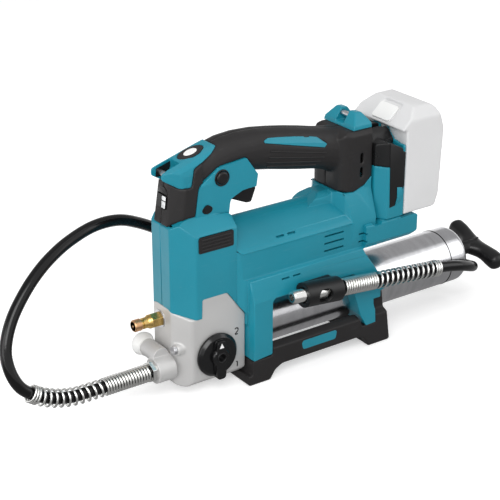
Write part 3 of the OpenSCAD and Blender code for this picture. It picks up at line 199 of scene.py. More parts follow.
def turning_marks_group():
    """Fine rings left by turning and polishing round the X axis: noise that is stretched across the axis."""
    tree, inner, outer = new_group(
        "Turning marks",
        [("Low", "NodeSocketFloat", 0.15), ("High", "NodeSocketFloat", 0.3),
         ("Rings", "NodeSocketFloat", 1.0)],
        [("Roughness", "NodeSocketFloat"), ("Height", "NodeSocketFloat"), ("Shade", "NodeSocketFloat")])
    where = object_coordinates(tree, (60, 1, 1))
    rings = noise(tree, where, sums(tree, "MULTIPLY", inner.outputs["Rings"], 30.0), 3.0)
    broad = noise(tree, object_coordinates(tree, (8, 1, 1)), 18.0, 3.0)
    rough = spread(tree, rings, inner.outputs["Low"], inner.outputs["High"])
    tree.links.new(rough, outer.inputs["Roughness"])
    tree.links.new(rings, outer.inputs["Height"])
    tree.links.new(spread(tree, broad, 0.9, 1.05), outer.inputs["Shade"])
    return tree


TONE_DRIFT = tone_drift_group()
MOULDED_GRAIN = moulded_grain_group()
UNEVEN_GLOSS = uneven_gloss_group()
TURNING_MARKS = turning_marks_group()


def use_group(tree, group, **values):
    """Places a shader group in a material with its own values."""
    node = tree.nodes.new("ShaderNodeGroup")
    node.node_tree = group
    for label, value in values.items():
        node.inputs[label.replace("_", " ").title()].default_value = value
    return node


def new_finish(name):
    """An empty material, its node tree and its shader."""
    material = bpy.data.materials.new(name)
    material.use_nodes = True
    tree = material.node_tree
    return material, tree, tree.nodes["Principled BSDF"]


def bump(tree, shader, height, strength, distance):
    """Relief from a height, in metres."""
    node = tree.nodes.new("ShaderNodeBump")
    node.inputs["Strength"].default_value = strength
    node.inputs["Distance"].default_value = distance
    tree.links.new(height, node.inputs["Height"])
    tree.links.new(node.outputs["Normal"], shader.inputs["Normal"])


# What all finishes share: depths of relief in metres, depth of the pits, and scale of the wandering gloss
GRAIN_DEPTH, RING_DEPTH = 0.0002, 0.0001
GRAIN_PITS = 0.6
GLOSS_SCALE = 45.0
COAT_ROUGHNESS = 0.12


def moulding(name, colour, gloss, grain=900.0, relief=0.25, drift=0.06, rub=0.08, metallic=0.0, coat=0.0,
             shine=0.5):
    """A moulded or cast finish: drifting tone, wandering gloss and grain in relief."""
    material, tree, shader = new_finish(name)
    pale = tuple(0.5 * c + 0.35 for c in colour)
    tone = use_group(tree, TONE_DRIFT, color=(*colour, 1), amount=drift, rub_color=(*pale, 1), rub=rub)
    tree.links.new(tone.outputs["Color"], shader.inputs["Base Color"])
    rough = use_group(tree, UNEVEN_GLOSS, low=gloss[0], high=gloss[1], scale=GLOSS_SCALE)
    tree.links.new(rough.outputs["Roughness"], shader.inputs["Roughness"])
    height = use_group(tree, MOULDED_GRAIN, scale=grain, pits=GRAIN_PITS)
    bump(tree, shader, height.outputs["Height"], relief, GRAIN_DEPTH)
    shader.inputs["Metallic"].default_value = metallic
    shader.inputs["Specular IOR Level"].default_value = shine
    shader.inputs["Coat Weight"].default_value = coat
    shader.inputs["Coat Roughness"].default_value = COAT_ROUGHNESS
    return material


def turned_metal(name, colour, gloss, rings=1.0, relief=0.08):
    """A turned and polished metal: rings in its gloss and relief, and broad bands of shade."""
    material, tree, shader = new_finish(name)
    marks = use_group(tree, TURNING_MARKS, low=gloss[0], high=gloss[1], rings=rings)
    shade = tree.nodes.new("ShaderNodeHueSaturation")
    shade.inputs["Color"].default_value = (*colour, 1)
    tree.links.new(marks.outputs["Shade"], shade.inputs["Value"])
    tree.links.new(shade.outputs["Color"], shader.inputs["Base Color"])
    tree.links.new(marks.outputs["Roughness"], shader.inputs["Roughness"])
    bump(tree, shader, marks.outputs["Height"], relief, RING_DEPTH)
    shader.inputs["Metallic"].default_value = 1.0
    return material


TEAL = moulding("teal_moulding", (0.0075, 0.22, 0.3), (0.32, 0.44), grain=1300.0, relief=0.12, rub=0.04,
                shine=0.4)
DARK = moulding("dark_overmould", (0.015, 0.0138, 0.0142), (0.45, 0.6), grain=1500.0, relief=0.3, rub=0.02,
                shine=0.3)
BLACK = moulding("black_satin", (0.008, 0.008, 0.0085), (0.26, 0.38), grain=1200.0, relief=0.1, rub=0.01,
                 shine=0.3)
GLOSS_BLACK = moulding("black_gloss", (0.005, 0.005, 0.0055), (0.16, 0.26), grain=800.0, relief=0.04,
                       rub=0.01, coat=0.15, shine=0.3)
ALLOY = moulding("cast_alloy", (0.54, 0.535, 0.53), (0.42, 0.55), grain=1100.0, drift=0.04, metallic=0.35)
STEEL = turned_metal("polished_steel", (0.64, 0.64, 0.66), (0.16, 0.24), relief=0.03)
PLAIN_STEEL = turned_metal("plain_steel", (0.6, 0.6, 0.62), (0.25, 0.4), rings=2.0)
ZINC = moulding("zinc_plate", (0.82, 0.82, 0.8), (0.16, 0.28), grain=500.0, relief=0.05, drift=0.05,
                rub=0.02, metallic=1.0)
BRASS = turned_metal("brass", (0.68, 0.46, 0.16), (0.2, 0.34), rings=3.0)
COPPER = turned_metal("copper_tip", (0.66, 0.38, 0.2), (0.25, 0.38), rings=3.0)
WHITE = moulding("white_plastic", (0.86, 0.86, 0.85), (0.3, 0.42), relief=0.06, drift=0.02, rub=0.0)
PALE = moulding("pale_plastic", (0.66, 0.66, 0.665), (0.42, 0.55), grain=1200.0, relief=0.15, drift=0.03,
                rub=0.03)
RUBBER = moulding("hose_rubber", (0.004, 0.004, 0.0043), (0.13, 0.22), grain=600.0, relief=0.05, rub=0.01,
                  shine=0.3)
BOARD = moulding("board_mask", (0.02, 0.16, 0.05), (0.35, 0.5), grain=500.0, relief=0.1)
WRAP = moulding("cell_wrap", (0.04, 0.16, 0.36), (0.25, 0.4), grain=500.0, relief=0.05)
# The lamp window's white finish: a painted reflection, the lit near half of one glossy window
LENS_PAINTED_REFLECTION = moulding("lamp_lens", (0.8, 0.82, 0.83), (0.1, 0.18), grain=400.0, relief=0.02, drift=0.02, rub=0.0,
                coat=0.3)

# Pieces

# Edges that bend more than SHARP_BEND are rounded; shading is smooth up to FLAT_BEND or ROUND_BEND degrees
SHARP_BEND = np.radians(30.0)
FLAT_BEND, ROUND_BEND = 16.0, 60.0


def settle(name, mesh, material, body, stands_for=(), sharp=35.0):
    """Makes an object of a mesh, smooth up to an angle, and lets it ride on a body."""
    mesh.polygons.foreach_set("use_smooth", np.ones(len(mesh.polygons), bool))
    mesh.set_sharp_from_angle(angle=np.radians(sharp))
    mesh.materials.append(material)
    piece = bpy.data.objects.new(name, mesh)
    bpy.context.scene.collection.objects.link(piece)
    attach(piece, body)
    if stands_for:
        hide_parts(*stands_for)
    return piece


def outward(mesh):
    """Joins doubles and turns every face of a closed mesh outwards."""
    work = bmesh.new()
    work.from_mesh(mesh)
    bmesh.ops.remove_doubles(work, verts=work.verts, dist=1e-7)
    bmesh.ops.recalc_face_normals(work, faces=work.faces)
    work.to_mesh(mesh)
    work.free()
    return mesh


def skin(name, grid, wrap_u=False):
    """Quads over a grid of points [u, v] that closes on itself along v.

    Along u it closes on itself too, or lids close its ends."""
    rows, cols = grid.shape[:2]
    u = np.arange(rows if wrap_u else rows - 1)[:, None]
    v = np.arange(cols)[None, :]
    next_u, next_v = (u + 1) % rows, (v + 1) % cols
    quads = np.stack([u * cols + v, u * cols + next_v, next_u * cols + next_v, next_u * cols + v], -1)
    faces = quads.reshape(-1, 4).tolist()
    if not wrap_u:
        faces += [list(range(cols))[::-1], list(range((rows - 1) * cols, rows * cols))]
    mesh = bpy.data.meshes.new(name)
    mesh.from_pydata(place(grid.reshape(-1, 3)).tolist(), [], faces)
    return outward(mesh)


def unit(vectors):
    """Vectors of length one along the last axis."""
    vectors = np.asarray(vectors, float)
    return vectors / np.linalg.norm(vectors, axis=-1, keepdims=True)


def smooth_path(points, step=4.0):
    """A Catmull-Rom curve through points: cubic between each two, at steps of about one length."""
    points = np.asarray(points, float)
    full = np.vstack([2 * points[0] - points[1], points, 2 * points[-1] - points[-2]])
    a, b, c, d = full[:-3], full[1:-2], full[2:-1], full[3:]
    count = np.maximum(2, np.ceil(np.linalg.norm(c - b, axis=1) / step)).astype(int)
    span = np.repeat(np.arange(len(b)), count)
    t = np.concatenate([np.arange(n) / n for n in count])[:, None]
    a, b, c, d = a[span], b[span], c[span], d[span]
    curve = 0.5 * (2 * b + (c - a) * t + (2 * a - 5 * b + 4 * c - d) * t ** 2
                   + (3 * b - a - 3 * c + d) * t ** 3)
    return np.vstack([curve, points[-1]])


def circle(sides):
    """Cosines and sines of even steps round a circle, shaped to scale rows of vectors."""
    angle = np.linspace(0, 2 * np.pi, sides, endpoint=False)[None, :, None]
    return np.cos(angle), np.sin(angle)


def tube(path, radius, sides, up):
    """A round profile carried along a path: circles across the path's run, turned from a fixed up vector."""
    path = np.asarray(path, float)
    run = unit(np.gradient(path, axis=0))
    across = unit(np.cross(run, np.broadcast_to(up, run.shape)))
    over = np.cross(across, run)
    cos, sin = circle(sides)
    radius = np.broadcast_to(radius, len(path))[:, None, None]
    return path[:, None] + radius * (cos * across[:, None] + sin * over[:, None])


def lathe(profile, start, axis, sides=48):
    """A profile of [along, radius] turned round an axis from its start."""
    profile = np.asarray(profile, float)
    axis = unit(axis)
    side = unit(np.cross(axis, [0, 0, 1] if abs(axis[2]) < 0.9 else [1, 0, 0]))
    other = np.cross(axis, side)
    cos, sin = circle(sides)
    ring = cos * side + sin * other
    return np.asarray(start, float) + profile[:, 0, None, None] * axis + profile[:, 1, None, None] * ring


def in_box(point, boxes):
    """Whether a point of the frame lies in one of the boxes of stations and heights, from low to high."""
    x, z = point[0] / MM - SHIFT[0], point[2] / MM
    return any(x0 < x < x1 and z0 < z < z1 for x0, z0, x1, z1 in boxes)


def node_copy(node):
    """A CAD node's mesh, with its triangles joined at their points."""
    work = bmesh.new()
    work.from_mesh(frame["nodes"][node].data)
    bmesh.ops.remove_doubles(work, verts=work.verts, dist=2e-6)
    return work


def stand_in(name, node, work, material, sharp):
    """The piece of a worked mesh that stands for a CAD node and rides on the node's body."""
    mesh = bpy.data.meshes.new(name)
    work.to_mesh(mesh)
    work.free()
    return settle(name, mesh, material, frame["nodes"][node]["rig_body"], [node], sharp)


def dressed(node, material, edge=0.8, longer=3.0, segments=3, leave=()):
    """A copy of a CAD node with its flat runs merged and its long sharp edges rounded.

    Edges in the boxes of leave stay sharp."""
    work = node_copy(node)
    bmesh.ops.dissolve_limit(work, angle_limit=np.radians(0.5), verts=work.verts, edges=work.edges)
    weights = work.edges.layers.float.new("bevel_weight_edge")
    for line in work.edges:
        middle = (line.verts[0].co + line.verts[1].co) / 2
        long_and_sharp = line.calc_face_angle(0.0) > SHARP_BEND and line.calc_length() > longer * MM
        if long_and_sharp and not in_box(middle, leave):
            line[weights] = 1.0
    piece = stand_in(node + "_dressed", node, work, material, FLAT_BEND)
    if edge:
        rounding = piece.modifiers.new("edges", "BEVEL")
        rounding.limit_method = "WEIGHT"
        rounding.width = edge * MM
        rounding.segments = segments
        rounding.use_clamp_overlap = False
        rounding.harden_normals = True
    return piece


def softened(node, material, cell, passes):
    """A copy of a CAD node with every edge rounded: small even cells over its surface, then evened out."""
    piece = stand_in(node + "_softened", node, node_copy(node), material, ROUND_BEND)
    cells = piece.modifiers.new("cells", "REMESH")
    cells.mode = "VOXEL"
    cells.voxel_size = cell * MM
    cells.use_smooth_shade = True
    ease = piece.modifiers.new("ease", "SMOOTH")
    ease.factor = 0.5
    ease.iterations = passes
    return piece


def clear_bores(piece, bores):
    """Clears upright bores, [x, y, radius, floor, top], of a softened piece's points.

    Points near a bore's floor go down to it, and points above the floor go out to the wall."""
    worked_out = piece.evaluated_get(bpy.context.evaluated_depsgraph_get())
    mesh = bpy.data.meshes.new_from_object(worked_out)
    piece.modifiers.clear()
    piece.data = mesh
    points = np.empty(len(mesh.vertices) * 3)
    mesh.vertices.foreach_get("co", points)
    points = points.reshape(-1, 3)
    near_wall, near_floor, under_floor = 0.4 * MM, 0.8 * MM, 0.25 * MM
    for x, y, radius, floor, top in bores:
        axis = place([x, y, 0])[:2]
        out = points[:, :2] - axis
        reach = np.maximum(np.linalg.norm(out, axis=1), 1e-9)
        low = (reach < radius * MM - near_wall) & (np.abs(points[:, 2] - floor * MM) < near_floor)
        points[low, 2] = floor * MM - under_floor
        inside = (reach < radius * MM) & (points[:, 2] > floor * MM) & (points[:, 2] < top * MM)
        points[inside, :2] = axis + out[inside] * (radius * MM / reach[inside])[:, None]
    mesh.vertices.foreach_set("co", points.ravel())
    mesh.update()


def oval(centre, half, count=48):
    """Outline of an ellipse."""
    angle = np.linspace(0, 2 * np.pi, count, endpoint=False)
    return np.stack([centre[0] + half[0] * np.cos(angle), centre[1] + half[1] * np.sin(angle)], 1)


def round_box(low, high, radius, steps=5):
    """Outline of a rectangle with quarter circles at its corners."""
    turn = np.radians(np.linspace(0, 90, steps))
    corners = [(high[0] - radius, high[1] - radius, 0), (low[0] + radius, high[1] - radius, 90),
               (low[0] + radius, low[1] + radius, 180), (high[0] - radius, low[1] + radius, 270)]
    return np.array([(u + radius * np.cos(np.radians(a) + t), v + radius * np.sin(np.radians(a) + t))
                     for u, v, a in corners for t in turn])


def both(grids):
    """Grids of points together with their mirror images at the far side."""
    return list(grids) + [grid * np.array([1, -1, 1]) for grid in grids]


def joined(name, grids, wrap_u=False):
    """One mesh of several skins."""
    meshes = [skin(name, grid, wrap_u) for grid in grids]
    work = bmesh.new()
    for mesh in meshes:
        work.from_mesh(mesh)
        bpy.data.meshes.remove(mesh)
    whole = bpy.data.meshes.new(name)
    work.to_mesh(whole)
    work.free()
    return whole


SIDE_ALONG, SIDE_OVER = np.array([1.0, 0, 0]), np.array([0, 0, 1.0])


def slab(outline, low, high, origin=(0, 0, 0), along=SIDE_ALONG, over=SIDE_OVER, edge=0.25):
    """A flat piece with a chamfered rim: an outline [u, v] on a plane, from a low to a high level off it.

    On the plane of the gun's left side the levels count away from the middle of the gun."""
    outline = np.asarray(outline, float)
    along, over = unit(along), unit(over)
    out = np.cross(along, over)
    inset = outline.mean(0) + (outline - outline.mean(0)) * (1 - edge / np.ptp(outline, axis=0).min() * 2)
    rings = [(outline, low), (outline, high - edge), (inset, high)]
    return np.stack([np.asarray(origin, float) + flat[:, :1] * along + flat[:, 1:] * over + level * out
                     for flat, level in rings])


def bar(path, radius, sides=10):
    """A round bar along a path, closed by round ends."""
    path = np.asarray(path, float)
    if len(path) == 2:
        path = path[0] + np.linspace(0, 1, 9)[:, None] * (path[1] - path[0])
    reach = np.concatenate([[0], np.cumsum(np.linalg.norm(np.diff(path, axis=0), axis=1))])
    cap = radius * (1 - np.cos(np.linspace(0, np.pi / 2, 5)))
    straight = np.linspace(radius, reach[-1] - radius, max(2, len(path)))[1:-1]
    at = np.concatenate([cap, straight, reach[-1] - cap[::-1]])
    fine = np.stack([np.interp(at, reach, path[:, k]) for k in range(3)], 1)
    near = np.minimum(np.minimum(at, reach[-1] - at) / radius, 1)
    return tube(fine, radius * np.sqrt(np.maximum(1 - (1 - near) ** 2, 0.01)), sides, [0.1, 0.2, 1])


def plain(node, material):
    """A CAD node that keeps its shape and takes a finish."""
    mesh = frame["nodes"][node].data
    mesh.materials.clear()
    mesh.materials.append(material)


# Hose: the route that the solids follow, a tube along it, and the two guard springs

HOSE_ROUTE = [
    [-56.5, -12, 31], [-72, -12, 31], [-88, -12, 31], [-104, -12, 31], [-118, -12, 31], [-133.5, -12, 31.4],
    [-142, -12, 32.7], [-150, -12, 34.8], [-158, -12, 37.7], [-166, -12, 41.5], [-173, -12, 45.9],
    [-178.6, -12, 50.1], [-184.6, -11.6, 56.2], [-189.2, -10, 64.6], [-191.8, -6.5, 75], [-191.6, -2, 87],
    [-187.2, 2.5, 99.5], [-178.8, 7.5, 113], [-167, 12.5, 126], [-151.5, 18, 139.2], [-132.5, 24, 150.6],
    [-108.5, 31, 159.4], [-80, 37, 164.9], [-51, 43, 162], [-25, 48, 151], [2, 51, 135.5], [35, 52, 117],
    [75, 52, 98.5], [120, 52, 82], [165, 52, 67], [210, 52, 54], [252, 52, 43], [286, 50, 36], [311, 42, 33],
    [330, 24, 33], [337, -1, 35], [330.5, -26.5, 42.5], [312.5, -43.5, 53], [291, -51, 62], [268, -52, 67.4],
    [240, -52, 70.5], [200, -52, 74.3], [160, -52, 78.1], [133.74, -52, 80.54],
]
OUTLET = np.array(HOSE_ROUTE[0], float)
HOSE_D = 11.0
COIL_R, COIL_WIRE = 7.6, 2.2
CLOSE_PITCH, OPEN_PITCH = 2.9, 6.6
COIL_GAP = 0.8
# The rear spring starts at COIL_START from the coupler's tip, on the line that falls from there to the hose
COUPLER_TIP, COUPLER_FALL = np.array([76.0, -52.0, 86.0]), np.radians(5.4)
FALL_RUN = np.array([np.cos(COUPLER_FALL), 0, -np.sin(COUPLER_FALL)])
FALL_UP = np.array([np.sin(COUPLER_FALL), 0, np.cos(COUPLER_FALL)])
COIL_START = 58.0


def coil_lengths(stretches, per_turn=32):
    """Turns and the length along the axis for stretches of [turns, pitch]."""
    knots = np.cumsum([0] + [turns for turns, _ in stretches])
    reach = np.cumsum([0] + [turns * pitch for turns, pitch in stretches])
    turn = np.linspace(0, knots[-1], int(knots[-1] * per_turn) + 1)
    return turn, np.interp(turn, knots, reach)


def coil(centre, out, turn, radius):
    """A helix round a line of centres: out and the Y axis span each turn's circle."""
    angle = 2 * np.pi * turn[:, None]
    return centre + radius * (np.cos(angle) * out + np.sin(angle) * np.array([0, 1, 0]))


def front_axis(s):
    """The front spring's axis at a length s from the nut: straight, then an arc that rises."""
    straight, bend_r = 68.5, 85.0
    a = np.maximum(0, s - straight) / bend_r
    x = OUTLET[0] - np.minimum(s, straight) - bend_r * np.sin(a)
    centre = np.stack([x, np.full_like(s, OUTLET[1]), OUTLET[2] + bend_r * (1 - np.cos(a))], -1)
    return centre, np.stack([np.sin(a), np.zeros_like(a), np.cos(a)], -1)


def guard_spring(name, node, centre, out, turn):
    """A round wire along a helix, in place of a spring's solid."""
    wire = tube(coil(centre, out, turn, COIL_R), COIL_WIRE / 2, 10, [1, 0, 0])
    return settle(name, skin(name, wire), ZINC, "gun", [node], ROUND_BEND)


def make_hose():
    """The hose with its springs: a tube along the route, and each spring's wire along its own helix."""
    path = smooth_path(HOSE_ROUTE)
    outside = skin("hose_tube", tube(path, HOSE_D / 2, 20, [0.15, 0.1, 1]))
    hose = settle("hose_tube", outside, RUBBER, "gun", ["hose"], ROUND_BEND)
    turn, reach = coil_lengths([(16, CLOSE_PITCH), (10.5, OPEN_PITCH), (2.5, CLOSE_PITCH)])
    centre, out = front_axis(COIL_GAP + reach)
    front = guard_spring("front_guard_spring", "hose_spring_front", centre, out, turn)
    turn, reach = coil_lengths([(14, CLOSE_PITCH), (11.5, OPEN_PITCH), (2.5, CLOSE_PITCH)])
    centre = COUPLER_TIP + (COIL_START + COIL_GAP + reach)[:, None] * FALL_RUN
    rear = guard_spring("rear_guard_spring", "hose_spring_rear", centre, FALL_UP, turn)
    nut = dressed("hose_nut", ZINC, 0.4)
    ferrule = dressed("hose_ferrule", ZINC, 0.6)
    coupler = dressed("grease_coupler", ZINC, 0.4)


make_hose()

# Carried-over nodes

# The pump's bores round the plunger, the follower's travel, and the vents, whose edges stay sharp
PLUNGER_BORES = [(0, 0, 5.15, 60, 94), (0, 0, 9.4, 94.2, 110)]
VENTS = [(122, 106, 182, 133), (71, 95.5, 101, 103), (71, 136, 101, 142)]
for node in ("housing_left", "housing_right"):
    dressed(node, TEAL, 1.0, 5.0, leave=VENTS)
for node in ("front_strap_cap", "rear_strap_cap"):
    softened(node, TEAL, 0.5, 12)
for node in ("grip_left", "grip_right"):
    softened(node, DARK, 0.8, 14)
dressed("grip_inserts", TEAL, 0.4, 2.0)
softened("battery_holder", TEAL, 0.7, 6)
dressed("base_accents", TEAL, 0.3, 2.0)
softened("base_frame", DARK, 0.8, 6)
dressed("side_pads", DARK, 0.4, 2.0)
dressed("lamp_button", DARK, 0.5, 0.5)
dressed("lock_on_button", BLACK, 2.2, 0.3, 4)
softened("trigger", BLACK, 0.5, 10)
dressed("trigger_lock", BLACK, 0.6, 0.4)
dressed("speed_dial", GLOSS_BLACK, 0.6, 0.8)
softened("holder_cover", BLACK, 0.6, 10)
softened("hose_holder", BLACK, 0.4, 8)
clear_bores(softened("pump_body", ALLOY, 0.7, 12), PLUNGER_BORES)
softened("outlet_elbow", ALLOY, 0.4, 8)
dressed("barrel_tube", STEEL, 0.3, 1.0)
dressed("barrel_cap", STEEL, 0.3, 1.0)
dressed("elbow_cap", WHITE, 0.5, 1.0)
dressed("bleeder_valve", BRASS, 0.4, 1.0)
softened("battery_case", PALE, 1.0, 8)
dressed("battery_button", WHITE, 0.4, 2.0)
dressed("screws", PLAIN_STEEL, 0.3, 0.5)
plain("switch_body", DARK)
plain("motor_fan", BLACK)
plain("follower_piston", BLACK)
plain("gear_case", ALLOY)
for node in ("front_strap_bar", "rear_strap_bar", "trigger_pin", "selector_spindle", "pump_plunger",
             "follower_rod", "motor_stator", "motor_rotor", "motor_bearings", "ring_gear",
             "planet_gear_1", "planet_gear_2", "planet_gear_3", "crank_shaft", "crank_bearing", "check_ball"):
    plain(node, PLAIN_STEEL)
follower_coil = dressed("follower_spring", PLAIN_STEEL, 0)
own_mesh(follower_coil)
plain("battery_contacts", BRASS)
# The lamp lens is black: a painted dark reflection over the window's far half, next to the white pane of
# painted reflection
plain("lamp_lens", BLACK)
plain("follower_seal", RUBBER)
plain("controller_board", BOARD)
plain("battery_cells", WRAP)

# Details: flat pieces, ribs and rings that lie on the carried-over shapes

PUMP_SIDE, DIAL_AT, DIAL_FACE = 30.0, np.array([6.0, 39.0]), 39.9
# The post's front leans back, and the cap on top of it rises to the rear
POST_TILT = np.arctan2(8, 64)
POST_UP = np.array([np.sin(POST_TILT), 0, np.cos(POST_TILT)])
CAP_SLOPE = np.radians(16.5)
CAP_RUN = np.array([np.cos(CAP_SLOPE), 0, np.sin(CAP_SLOPE)])
# Hand grip: station, height of its middle and its share of the full section
GRIP_STATIONS = np.array([[48, 220.4, 0.98], [66, 219.7, 0.98], [84, 216.8, 1], [102, 213.3, 1.02],
                          [120, 209.6, 1.02], [136, 206.3, 1], [148, 203.6, 1.02]])
GRIP_HALF_W, GRIP_HALF_H, GRIP_TILT, GRIP_POWER = 18, 20, np.radians(11), 0.85


def detail(name, grids, material, slot, body="gun", rings=False):
    """One object of several closed skins, or of several closed rings."""
    return settle(name, joined(name, grids, rings), material, body)


def side_level(node):
    """How far a node reaches to the left from the middle of the gun, in millimetres."""
    low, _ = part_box(node)
    return SHIFT[1] - low.y / MM


def hoop(centre, radius, wire, axis, count=48):
    """A ring of round wire about an axis."""
    ring = lathe([[0, radius]], centre, axis, count)[0]
    run = unit(np.roll(ring, -1, axis=0) - np.roll(ring, 1, axis=0))
    out = unit(ring - np.asarray(centre, float))
    over = np.cross(out, run)
    cos, sin = circle(12)
    return ring[:, None] + wire * (cos * out[:, None] + sin * over[:, None])


def on_grip(x, z):
    """A point of the hand grip's left side: its rounded section at a station, at a height."""
    centre, share = (np.interp(x, GRIP_STATIONS[:, 0], GRIP_STATIONS[:, k]) for k in (1, 2))
    rise = np.minimum(np.abs((z - centre) * np.cos(GRIP_TILT)) / (GRIP_HALF_H * share), 0.97)
    half_width = GRIP_HALF_W * share * np.sqrt(1 - rise ** (2 / GRIP_POWER)) ** GRIP_POWER
    return np.stack([x, -half_width, z], -1)


def grip_ribs():
    """Four ribs under the insert, each a round bar along the side of the grip."""
    ends = [((76, 219.5), (140, 205.4)), ((74, 214), (138, 201.3)), ((73, 209), (135, 197.6)),
            ((74, 204.6), (130, 194.4))]
    rib_r = 0.8
    t = np.linspace(0, 1, 12)
    paths = [on_grip(a[0] + t * (b[0] - a[0]), a[1] + t * (b[1] - a[1])) for a, b in ends]
    return [bar(path, rib_r) for path in paths]


def pad_ribs():
    """Four level ribs on each side pad."""
    low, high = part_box("side_pads")
    rib_r, from_end, from_edge = 0.9, 3, 2.8
    x0, x1 = low.x / MM - SHIFT[0] + from_end, high.x / MM - SHIFT[0] - from_end
    levels = np.linspace(low.z / MM + from_edge, high.z / MM - from_edge, 4)
    y = -side_level("side_pads")
    return [bar([[x0, y, z], [x1, y, z]], rib_r) for z in levels]


def numeral(centre, strokes):
    """Strokes [u, v] of a numeral on the pump's left side, as bars sunk into the wall."""
    stroke_r, sunk = 1.0, 0.7
    lines = [[[centre[0] + u, -PUMP_SIDE + sunk, centre[1] + v] for u, v in stroke] for stroke in strokes]
    return [bar(line, stroke_r) for line in lines]


def housing_details():
    """Vent baffles, pad ribs, trigger-lock surround and the ring of the lock-on button."""
    areas = [((123, 105), (161, 133)), ((166, 105), (182, 126)), ((71, 95.5), (101, 103.5))]
    inner_face, outer_face, corner_r = 28.2, 29.2, 2
    baffles = [slab(round_box(low, high, corner_r), inner_face, outer_face) for low, high in areas]
    detail("vent_baffles", both(baffles), BLACK, "black_plastic")
    detail("pad_ribs", both(pad_ribs()), DARK, "dark_plastic")
    surround = slab(oval((5.6, 179.2), (5.6, 3.9)), 17.5, 19.25)
    detail("trigger_lock_surround", both([surround]), BLACK, "black_plastic")
    ring = hoop((21.6, -19.0, 206.4), 7.2, 0.8, (0, 1, 0))
    detail("lock_on_rings", both([ring]), BLACK, "black_plastic", rings=True)


def lamp_details():
    """Lamp window: a white pane over its near half as painted reflection, black bars, and a black half-round
    above it as painted shade of the recess; and the white disc of the lamp button.
    """
    front = dict(origin=np.array([NOSE_X + 3, 0, 190]), along=(0, -1, 0), over=POST_UP)
    # White pane over the near half of the window: painted reflection, beside the black far half of the lens
    reflection_pane = slab(round_box((0.5, -5.4), (6.6, 5.4), 0.8), 0.4, 1.1, **front)
    frame_bars = [slab(round_box((-0.6, -5.6), (0.6, 5.6), 0.4), 0.3, 1.6, **front),
                  slab(round_box((0.6, 0.9), (6.8, 1.7), 0.3), 0.3, 1.5, **front)]
    detail("lamp_pane_painted_reflection", [reflection_pane], LENS_PAINTED_REFLECTION, "lamp_window")
    detail("lamp_frame", frame_bars, BLACK, "black_plastic")
    # A black half-round slab above the pane: painted shade in the recess over the lamp window
    shade = oval((0, 7.2), (7.6, 6.4))[:25]
    detail("lamp_recess_painted_shade", [slab(shade, -1.0, 0.6, **front)], BLACK, "black_plastic")
    slope = dict(origin=np.array([0.3, 0, 230.1]), along=CAP_RUN, over=(0, 1, 0))
    disc = slab(oval((0, 0), (6.8, 5.0)), -1.0, 0.1, edge=0.5, **slope)
    detail("lamp_button_disc", [disc], WHITE, "white_plastic", "lamp_button")


def strap_slot_painted_shade():
    """Painted shade in the front strap's slot: black thin plates on its side walls, beside the bar."""
    # The black plates paint the shade that falls inside the slot's recess
    wall = [(-31.5, 210.5), (-16, 210.5), (-16, 222.5), (-30.5, 218.2)]
    detail("strap_slot_painted_shade", both([slab(wall, 7.3, 7.9, edge=0.1)]), BLACK, "black_plastic")


def pump_details():
    """Dial pointer, dial ring, numerals, and the washer and tip of the bleeder."""
    arrow = DIAL_AT + [(-2.4, 9.8), (2.4, 9.8), (0, 14.6)]
    pointer = slab(arrow, DIAL_FACE - 0.5, DIAL_FACE + 0.15, edge=0.1)
    detail("dial_pointer", [pointer], WHITE, "white_plastic", "dial")
    ring = hoop((DIAL_AT[0], -DIAL_FACE, DIAL_AT[1]), 4.6, 0.6, (0, 1, 0))
    detail("dial_ring", [ring], BLACK, "black_plastic", "dial", rings=True)
    one = [[(-1.3, 2.0), (0.4, 3.2)], [(0.4, 3.2), (0.4, -3.2)]]
    bow = [(2.0 * np.cos(a), 1.3 + 1.9 * np.sin(a)) for a in np.radians(np.linspace(165, -40, 12))]
    two = [bow + [(-2.0, -3.2)], [(-2.0, -3.2), (2.1, -3.2)]]
    numerals = numeral((29.4, 21.3), one) + numeral((28.9, 55.9), two)
    detail("dial_numerals", numerals, BLACK, "black_plastic")
    bleeder, forward = np.array([NOSE_X, 4, 73]), (-1, 0, 0)
    washer = lathe([[0, 4.3], [0, 8.6], [1.0, 8.6], [1.0, 4.3]], bleeder, forward)
    detail("bleeder_washer", [washer], PLAIN_STEEL, "plain_steel")
    tip_profile = [[0, 4.6], [0, 5.75], [6.1, 5.75], [7.05, 4.9], [7.05, 4.3]]
    tip = lathe(tip_profile, bleeder - [21.95, 0, 0], forward)
    detail("bleeder_tip", [tip], COPPER, "brass_fitting")


def holder_details():
    """Dark pointed side plates and teal tabs on the battery holder, and the seam of the barrel's cap."""
    plate = [(201.8, 207), (221.6, 194.5), (221.2, 160), (211, 142), (204, 141)]
    tab = [(212.2, 160.7), (218.6, 159.3), (218.6, 147.8), (210.6, 142.4), (212.8, 150.2)]
    detail("holder_plates", both([slab(plate, 36.5, 38.0)]), BLACK, "black_plastic")
    detail("holder_tabs", both([slab(tab, 36.5, 38.5)]), TEAL, "teal_plastic")
    seam_profile = [[0, 27], [0, 29.1], [0.7, 29.1], [0.7, 27]]
    seam = lathe(seam_profile, (BARREL_END - 0.3, 0, BARREL_Z), (1, 0, 0), 96)
    detail("barrel_seam", [seam], BLACK, "black_plastic")


